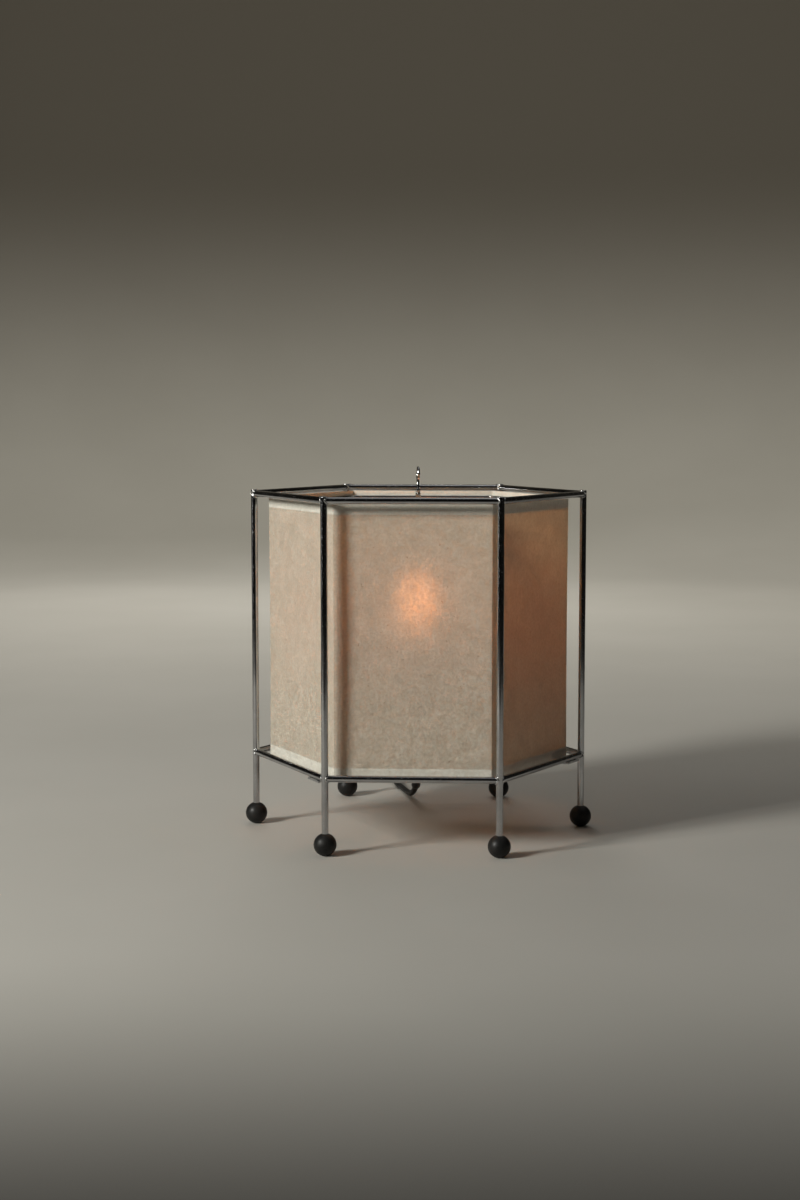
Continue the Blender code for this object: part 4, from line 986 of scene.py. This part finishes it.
def ringed(angle, radius, height):
    """Three shallow rings round the sleeve."""
    if radius < 19.5 * MM:
        return radius
    groove = max(1 - abs(height - HOLDER_FOOT - mark * MM) / (0.9 * MM) for mark in SLEEVE_RINGS)
    return radius - 0.5 * MM * smoothstep(0.0, 1.0, groove)


def stacked(radius, low, high, step=0.45):
    """Rings of one radius from high down to low, close enough to carry flutes or grooves."""
    count = round((high - low) / step)
    return [(radius, high - (high - low) * index / count) for index in range(count + 1)]


cap_line = [(19.6, 22.0), *stacked(20.0, 11.4, 21.6), (19.4, 9.6), (18.0, 7.6), (10.0, 0.8), (9.2, 0.0)]
cap_line += [(5.4, 0.0), (5.4, 1.6), (8.4, 1.6), (15.2, 9.4), (18.4, 12.6), (18.4, 22.0)]
sleeve_line = [(18.2, 57.0), (19.2, 56.7), (19.8, 56.0), *stacked(20.0, 22.6, 55.4), (19.6, 22.3)]
sleeve_line += [(18.1, 22.3), (18.1, 14.0), (16.5, 14.0), (16.5, 56.4), (17.0, 57.0)]
shell_line = [(14.2, 54.0), (14.2, 24.3), (5.0, 24.3), (5.0, 25.0), (13.5, 25.0), (13.5, 54.0)]
shell_line = eased(in_mm(shell_line, HOLDER_FOOT), 0.3 * MM, closed=True)
core_line = in_mm([(16.2, 24.0), (16.2, 13.0), (2.0, 13.0), (2.0, 24.0)], HOLDER_FOOT)
core_line = eased(core_line, 0.8 * MM, closed=True)
cap_line = in_mm(cap_line, HOLDER_FOOT)
sleeve_line = in_mm(sleeve_line, HOLDER_FOOT)
holder_cap = lathe("fluted_holder_cap", cap_line, 120, closed=True, shape_radius=fluted)
dress(holder_cap, phenolic, "frame", "black_phenolic", "holder_cap")
holder_sleeve = lathe("ringed_holder_sleeve", sleeve_line, 72, closed=True, shape_radius=ringed)
dress(holder_sleeve, phenolic, "frame", "black_phenolic", "holder_sleeve")
shell = lathe("brass_screw_shell", shell_line, 64, closed=True)
dress(shell, brass, "frame", "brass", "holder_screw_shell")
porcelain = start_finish("holder_porcelain")
clay = two_tones(porcelain, grain(porcelain, 160, 0.0, 1.0), (0.76, 0.73, 0.67), (0.86, 0.84, 0.79))
feed(porcelain, Base_Color=clay, Roughness=grain(porcelain, 300, 0.25, 0.45))
dress(lathe("porcelain_core", core_line, 64, closed=True), porcelain, "frame", "ceramic", "holder_core")
print("lampholder pieces: cap, sleeve, shell, core")

# %% Turn the contacts
contact_line = [(0.0, 28.7), (2.8, 28.7), (4.0, 27.95), (4.0, 27.2), (1.5, 27.2), (1.5, 14.7), (0.0, 14.7)]
contact_line = in_mm(contact_line, HOLDER_FOOT)
contact = lathe("sprung_contact", eased(contact_line, 0.4 * MM), 40)
dress(contact, brass, "centre_contact", "brass", "holder_centre_contact")
tip_line = in_mm([(0.0, 1.4), (4.6, 1.4), (2.75, 0.0), (0.0, 0.0)], BULB_TIP)
solder_tip = lathe("solder_tip", eased(tip_line, 0.5 * MM), 40)
dress(solder_tip, zinc, "bulb_tip_contact", "zinc_plate", "bulb_tip")
insulator_line = in_mm([(0.0, 4.4), (9.7, 4.4), (4.6, 1.7), (0.0, 1.7)], BULB_TIP)
insulator = lathe("black_glass_insulator", eased(insulator_line, 0.5 * MM), 48)
dress(insulator, phenolic, "bulb", "black_phenolic", "bulb_insulator")
print("contacts turned")

# %% [markdown]
# ## The carrier
# Three flat arms run from the lower rails to a hub, which carries the stem, a nut under it and a bright
# sleeve over it. The arms' solids already have the right shape, so they only get a finish; short weld
# beads fix their ends to the rails, and those are the small bumps seen under every second rail.

# %% Turn the sleeve, hub and nut
sleeve_outline = in_mm([(7.0, 109.7), (7.0, 66.3), (5.3, 66.3), (5.3, 109.7)])
stem_sleeve = lathe("bright_stem_sleeve", eased(sleeve_outline, 0.5 * MM, closed=True), 48, closed=True)
dress(stem_sleeve, chrome, "frame", "chrome_wire", "stem_sleeve")
hub_outline = in_mm([(22.0, 66.0), (22.0, 64.0), (5.3, 64.0), (5.3, 66.0)])
hub = lathe("zinc_hub", eased(hub_outline, 0.6 * MM, closed=True), 72, closed=True)
dress(hub, zinc, "frame", "zinc_plate", "spider_hub")
NUT_HIGH = 63.7
NUT_LOW = 59.7
NUT_FLAT = 7.0
NUT_BORE = 5.3


def hexagonal(angle, radius, height):
    """A nut's flats, with its corners chamfered at both ends."""
    if radius < 6.5 * MM:
        return radius
    beside = angle % math.radians(60) - math.radians(30)
    to_end = min(height - NUT_LOW * MM, NUT_HIGH * MM - height)
    return min(NUT_FLAT * MM / math.cos(beside), 7.25 * MM + 1.7 * to_end)


nut_line = [(NUT_FLAT, height) for height in (NUT_HIGH, 63.5, 63.2, 60.2, 59.9, NUT_LOW)]
nut_line += [(NUT_BORE, NUT_LOW), (NUT_BORE, NUT_HIGH)]
nut = lathe("hexagon_nut", in_mm(nut_line), 96, closed=True, shape_radius=hexagonal, sharp=20)
dress(nut, zinc, "frame", "zinc_plate", "stem_nut")
print("turned:", stem_sleeve.name, hub.name, nut.name)

# %% Finish the arms and weld them
def refinish(node, finish):
    """Puts a finish on a solid that keeps its own shape."""
    solid = bpy.data.objects[node]
    for slot in solid.material_slots:
        slot.material = finish
    return solid


for node in ("spider_arm_front_left", "spider_arm_front_right", "spider_arm_back", "stem"):
    refinish(node, zinc)
refinish("bulb_filament", tungsten)
ARM_TURN = math.radians(23)
ARM_BEAD_LENGTH = 15 * MM
ARM_BEAD_STEPS = 14
arm_runs = []
for side in ("back", "front_left", "front_right"):
    middle = math.radians(30 + 60 * SIDES.index(side))
    outward = polar(1.0, middle)
    along = polar(1.0, middle + math.radians(90))
    aside = SIDE * COS_30 * math.tan(ARM_TURN)
    for edge in (-1.75, 1.75):
        points = []
        for step in range(ARM_BEAD_STEPS + 1):
            far = aside + (step / ARM_BEAD_STEPS - 0.5) * ARM_BEAD_LENGTH
            point = outward * (SIDE * COS_30 + edge * MM) + along * far
            points.append(point + Vector((0.0, 0.0, 64.15 * MM)))
        factors = lumpy(points, 0.3, 700)
        factors[0] = factors[-1] = 0.55
        arm_runs.append((points, factors, False))
dress(wires("arm_welds", arm_runs, 0.85 * MM), weld_metal, "frame", "zinc_plate")
print("arm welds:", len(arm_runs))

# %% [markdown]
# ## Elbow, strain relief and inner flex
# The flex comes down inside the stem and leaves sideways through a moulded elbow. A long sleeve, ribbed
# at its start, guides it down to the table without a kink: a taper along the cord's own line, cut by
# grooves that let it bend. Inside the stem the two cores are twisted about each other.

# %% Mould the elbow
def combine(piece, other, operation, sharp=35):
    """Joins another closed piece to this one, or cuts it away, and leaves one skin."""
    change = piece.modifiers.new("change", "BOOLEAN")
    change.operation = operation
    change.solver = "EXACT"
    change.object = other
    bpy.context.view_layer.update()
    changed = piece.evaluated_get(bpy.context.evaluated_depsgraph_get())
    mesh = bpy.data.meshes.new_from_object(changed)
    piece.modifiers.clear()
    piece.data = mesh
    mesh.shade_smooth()
    mesh.set_sharp_from_angle(angle=math.radians(sharp))
    bpy.data.objects.remove(other, do_unlink=True)
    return piece


NOZZLE_HEIGHT = 47.9 * MM
elbow_line = in_mm([(0.0, 59.4), (8.0, 59.4), (8.0, 45.0), (4.8, 41.8), (0.0, 41.8)])
elbow = lathe("moulded_elbow", eased(elbow_line, 1.6 * MM, steps=6), 64)
nozzle_line = in_mm([(0.0, 16.0), (5.75, 16.0), (5.75, 13.2), (5.2, 12.8), (5.2, 11.4), (5.75, 11.0)])
nozzle_line += in_mm([(5.75, 1.0), (0.0, 1.0)])
nozzle = lathe("nozzle", eased(nozzle_line, 0.5 * MM), 48)
lay = Matrix.Rotation(math.radians(-90), 4, "X")
nozzle.data.transform(Matrix.Translation((0.0, 0.0, NOZZLE_HEIGHT)) @ lay)
dress(combine(elbow, nozzle, "UNION"), moulding, "frame", "black_pvc", "cord_elbow")
print("elbow faces:", len(elbow.data.polygons))

# %% Rib the strain relief and twist the flex
RELIEF_PLACES = (
    (0.0, 16.3, 47.9),
    (0.0, 28.0, 47.9),
    (-0.1, 40.0, 47.3),
    (-0.3, 52.0, 46.1),
    (-0.7, 64.0, 43.7),
    (-1.5, 76.0, 39.8),
    (-2.8, 87.0, 33.0),
    (-4.4, 97.0, 24.0),
    (-6.3, 106.0, 14.8),
)
SPAN_POINTS = 33
RIBS = 9
relief_places = [Vector(place) * MM for place in RELIEF_PLACES]
relief_line = []
for index, (start, end) in enumerate(zip(relief_places, relief_places[1:])):
    before = relief_places[max(index - 1, 0)]
    after = relief_places[min(index + 2, len(relief_places) - 1)]
    third = (end - start).length / 3
    out = start + (end - before).normalized() * third
    back = end - (after - start).normalized() * third
    span = interpolate_bezier(start, out, back, end, SPAN_POINTS)
    relief_line += span[:-1]
relief_line.append(span[-1])
relief_factors = []
for index in range(len(relief_line)):
    share = index / (len(relief_line) - 1)
    taper = 1.0 - 0.18 * share
    ribbed = min(share * 2.6, 1.0)
    rib = 0.5 + 0.5 * math.cos(math.tau * ribbed * RIBS)
    between = smoothstep(0.06, 0.12, ribbed) * (1 - smoothstep(0.90, 0.95, ribbed))
    groove = smoothstep(0.55, 0.85, 1 - rib) * between
    rounded = 1 - 0.14 * smoothstep(0.985, 1.0, share)
    relief_factors.append(taper * rounded * (1 - 0.17 * groove))
strain_relief = wires("ribbed_strain_relief", [(relief_line, relief_factors, False)], 5.25 * MM, 10)
dress(strain_relief, moulding, "frame", "black_pvc", "strain_relief")
FLEX_STEPS = 73
FLEX_LAY = 21 * MM
flex_runs = []
for half in (0, math.pi):
    core = []
    for step in range(FLEX_STEPS + 1):
        height = (49.6 + 72.9 * step / FLEX_STEPS) * MM
        core.append(polar(1.2 * MM, half + math.tau * height / FLEX_LAY, height))
    flex_runs.append((core, None, False))
dress(wires("twisted_flex", flex_runs, 1.25 * MM), cord_skin, "frame", "black_pvc", "inner_flex")
print("strain relief has", len(relief_line), "rings")

# %% [markdown]
# ## Switch and rocker
# An inline switch sits on the cord: a moulded shell in two halves with a seam, and a rocker in a pocket
# on top. The shell is a stack of one rounded outline, drawn in at the top and bottom and nicked at the
# seam. A boolean cut makes the pocket. The rocker has its own body, so that it can tilt.

# %% Stack outlines into a moulding
def loft(name, loops, cyclic=False, sharp=35):
    """Skins a stack of loops that have the same number of points."""
    shape = bmesh.new()
    made = [[shape.verts.new(point) for point in loop] for loop in loops]
    pairs = list(zip(made, made[1:]))
    if cyclic:
        pairs.append((made[-1], made[0]))
    for lower, upper in pairs:
        for index in range(len(lower)):
            beside = (index + 1) % len(lower)
            shape.faces.new((lower[index], lower[beside], upper[beside], upper[index]))
    if not cyclic:
        shape.faces.new(list(reversed(made[0])))
        shape.faces.new(made[-1])
    return link_shape(name, shape, sharp)


def drawn_in(outline, inset):
    """A flat outline, running anticlockwise, moved inward by the inset."""
    moved = []
    for index, point in enumerate(outline):
        way = Vector(outline[(index + 1) % len(outline)]) - Vector(outline[index - 1])
        inward = Vector((-way.y, way.x)).normalized()
        moved.append(Vector(point) + inward * inset)
    return moved


def moulded(name, outline, layers):
    """A stack of (inset, height) layers of one outline."""
    loops = []
    for inset, height in layers:
        loops.append([(*point, height) for point in drawn_in(outline, inset)])
    return loft(name, loops)


def rectangle(wide, long):
    """The corners of a rectangle round the origin, anticlockwise."""
    return [(wide, long), (-wide, long), (-wide, -long), (wide, -long)]


SWITCH_X = -30.5 * MM
SWITCH_SPOT = Vector((SWITCH_X, 236 * MM))
switch_outline = eased(rectangle(11.0 * MM, 28.0 * MM), 9.5 * MM, closed=True, steps=14)
switch_outline = [SWITCH_SPOT + Vector(point) for point in switch_outline]
switch_layers = [(1.6, 0.1), (0.9, 0.25), (0.35, 0.8), (0.05, 1.6), (0.0, 2.4), (0.0, 7.1), (0.35, 7.35)]
switch_layers += [(0.35, 7.65), (0.0, 7.9), (0.0, 11.4), (0.12, 12.6), (0.5, 13.8), (1.1, 14.6)]
switch_layers += [(1.9, 15.0), (2.6, 15.1)]
switch_shell = moulded("moulded_switch", switch_outline, in_mm(switch_layers))
print("switch shell faces:", len(switch_shell.data.polygons))

# %% Cut the pocket and fit bushings
PIVOT = Vector((SWITCH_X, 236 * MM, 11.9 * MM))
pocket_outline = eased(rectangle(5.1 * MM, 10.15 * MM), 1.2 * MM, closed=True)
pocket_outline = [SWITCH_SPOT + Vector(point) for point in pocket_outline]
pocket = moulded("rocker_pocket", pocket_outline, [(0.0, 6.7 * MM), (0.0, 20 * MM)])
combine(switch_shell, pocket, "DIFFERENCE", 30)
dress(switch_shell, moulding, "frame", "black_pvc", "switch_housing")
bushing_line = in_mm([(4.6, -0.5), (4.6, 1.4), (3.9, 1.7), (3.9, 2.6), (4.3, 2.9), (4.1, 4.2), (3.6, 4.5)])
bushing_line += in_mm([(3.6, 5.4), (3.8, 5.7), (3.5, 7.0), (2.95, 7.0), (2.95, -0.5)])
bushing_line = eased(bushing_line, 0.25 * MM, closed=True)
for name, mouth_y, way in (("front", 208.0, -1), ("back", 264.0, 1)):
    bushing = lathe("switch_bushing_" + name, bushing_line, 40, closed=True)
    lay = Matrix.Rotation(math.radians(-90 * way), 4, "X")
    bushing.data.transform(Matrix.Translation((SWITCH_X, mouth_y * MM, 6.4 * MM)) @ lay)
    dress(bushing, moulding, "frame", "black_pvc")

# %% Shape the rocker
rocker_corners = [(-9.2, 3.2), (-7.2, -1.8), (7.2, -1.8), (9.2, 3.2), (4.6, 2.0), (0.0, 1.6), (-4.6, 2.0)]
rocker_outline = eased(in_mm(rocker_corners), 0.9 * MM, closed=True, steps=4)
tilt = Matrix.Translation(PIVOT) @ Matrix.Rotation(math.radians(8), 4, "X")
rocker_loops = []
for inset, across in ((0.45, -4.7), (0.12, -4.5), (0.0, -4.1), (0.0, 4.1), (0.12, 4.5), (0.45, 4.7)):
    ring = drawn_in(rocker_outline, inset * MM)
    rocker_loops.append([tilt @ Vector((across * MM, point[0], point[1])) for point in ring])
rocker = loft("dished_rocker", rocker_loops)
dress(rocker, phenolic, "rocker", "black_phenolic", "switch_rocker")
ridge_runs = []
for along in (4.2, 5.4, 6.6, -4.2, -5.4, -6.6):
    up = 1.98 + 1.2 * (abs(along) - 4.2) / 4.6
    ends = [tilt @ Vector((across * MM, along * MM, up * MM)) for across in (-3.2, 3.2)]
    ridge_runs.append((ends, None, False))
dress(wires("rocker_ridges", ridge_runs, 0.28 * MM, 3), phenolic, "rocker", "black_phenolic")
print("rocker ridges:", len(ridge_runs))

# %% [markdown]
# ## Plug and tie
# The flat two-pin plug is the same kind of stacked moulding: a slim neck that widens to the face, a
# seam round the middle, and raised bars for the fingers. The pins are sleeved for half their length. A
# strap with a lapped end holds the coil.

# %% Mould the plug
PLUG_REAR = Vector((-73.0, 277.0)) * MM
PLUG_MIDDLE = 6.95 * MM
plug_corners = [(6.5, 0.0), (-6.5, 0.0), (-6.5, -15.0), (-17.65, -28.5), (-17.65, -42.0), (17.65, -42.0)]
plug_corners += [(17.65, -28.5), (6.5, -15.0)]
plug_outline = eased(in_mm(plug_corners), 5.0 * MM, closed=True, steps=8)
plug_outline = [PLUG_REAR + Vector(point) for point in plug_outline]
half_layers = [(0.3, 0.1), (0.0, 0.25), (0.0, 3.0), (0.08, 4.2), (0.45, 5.6), (1.2, 6.5), (2.4, 6.85)]
plug_layers = [(inset, -height) for inset, height in reversed(half_layers)] + half_layers
plug = moulded("moulded_plug", plug_outline, in_mm(plug_layers, PLUG_MIDDLE))
dress(plug, moulding, "frame", "black_pvc", "plug_body")
bar_start = Vector((*PLUG_REAR, PLUG_MIDDLE + 6.75 * MM))
bar_runs = []
for along in (-24.0, -27.0, -30.0, -33.0):
    half = 5.5 if along > -26 else 8.5
    ends = [bar_start + Vector((side * half, along, 0.0)) * MM for side in (-1, 1)]
    bar_runs.append((ends, None, False))
finger_bars = dress(wires("plug_finger_bars", bar_runs, 0.55 * MM, 4), moulding, "frame", "black_pvc")
print("plug faces:", len(plug.data.polygons))

# %% Sleeve the pins
pin_line = in_mm([(0.0, 25.0), (1.2, 24.9), (1.75, 24.3), (1.95, 23.3), (1.95, 0.0), (0.0, 0.0)])
pin_sleeve_line = in_mm([(1.97, 16.0), (2.0, 15.8), (2.0, 4.0), (1.97, 4.0)])
for side, name in ((-1, "left"), (1, "right")):
    start = Vector((PLUG_REAR.x + side * 9.3 * MM, PLUG_REAR.y - 36 * MM, PLUG_MIDDLE))
    lay = Matrix.Translation(start) @ Matrix.Rotation(math.radians(90), 4, "X")
    pin = lathe("plug_prong_" + name, pin_line, 40)
    pin.data.transform(lay)
    dress(pin, brass, "frame", "brass", "plug_pin_" + name)
    pin_sleeve = lathe("prong_sleeve_" + name, pin_sleeve_line, 40, closed=True)
    pin_sleeve.data.transform(lay)
    dress(pin_sleeve, moulding, "frame", "black_pvc")

# %% Strap the coil
TIE_ANGLE = math.radians(315)
outward = polar(1.0, TIE_ANGLE)
across = polar(1.0, TIE_ANGLE + math.radians(90))
coil_inner = COIL_MIDDLE - COIL_STEP * COIL_LAYER / 2
clear = CORD_RADIUS + 0.8 * MM
low = (coil_inner - clear, COIL_LOW - clear)
high = (COIL_OUTER + clear, COIL_LOW + COIL_STEP + clear)
strap_corners = [(high[0], high[1]), (low[0], high[1]), (low[0], low[1]), (high[0], low[1])]
strap_path = eased(strap_corners, 4.0 * MM, closed=True, steps=8)
section = [(-0.5, -3.6), (-0.5, 3.6), (-0.3, 4.0), (0.3, 4.0)]
section += [(0.5, 3.6), (0.5, -3.6), (0.3, -4.0), (-0.3, -4.0)]
strap_loops = []
for index, point in enumerate(strap_path):
    way = Vector(strap_path[(index + 1) % len(strap_path)]) - Vector(strap_path[index - 1])
    out = Vector((way.y, -way.x)).normalized()
    loop = []
    for thick, wide in section:
        spot = Vector(point) + out * thick * MM
        loop.append(COIL_CENTRE + outward * spot.x + across * wide * MM + Vector((0.0, 0.0, spot.y)))
    strap_loops.append(loop)
strap = loft("woven_strap", strap_loops, cyclic=True)
webbing = start_finish("strap_webbing")
weave = grain(webbing, 1500, 0.0, 1.0, detail=2.0)
feed(webbing, Base_Color=two_tones(webbing, weave, (0.008, 0.008, 0.009), (0.030, 0.030, 0.032)))
feed(webbing, Roughness=grain(webbing, 500, 0.75, 0.95), Normal=relief(webbing, weave, 0.12 * MM))
dress(strap, webbing, "frame", "black_pvc", "coil_tie")
tab_middle = COIL_CENTRE + outward * COIL_MIDDLE + Vector((0.0, 0.0, high[1] + 0.5 * MM))
tab_corners = [(-9.0, -3.7), (7.0, -3.7), (9.0, 0.0), (7.0, 3.7), (-9.0, 3.7)]
tab_outline = eased(in_mm(tab_corners), 1.5 * MM, closed=True, steps=4)
tab_loops = []
for inset, height in ((0.0, 0.0), (0.0, 0.6), (0.35, 0.85)):
    ring = drawn_in(tab_outline, inset * MM)
    level = tab_middle + Vector((0.0, 0.0, height * MM))
    tab_loops.append([level + outward * far + across * wide for far, wide in ring])
strap_tab = dress(loft("strap_tab", tab_loops), webbing, "frame", "black_pvc")
print("strap faces:", len(strap.data.polygons))
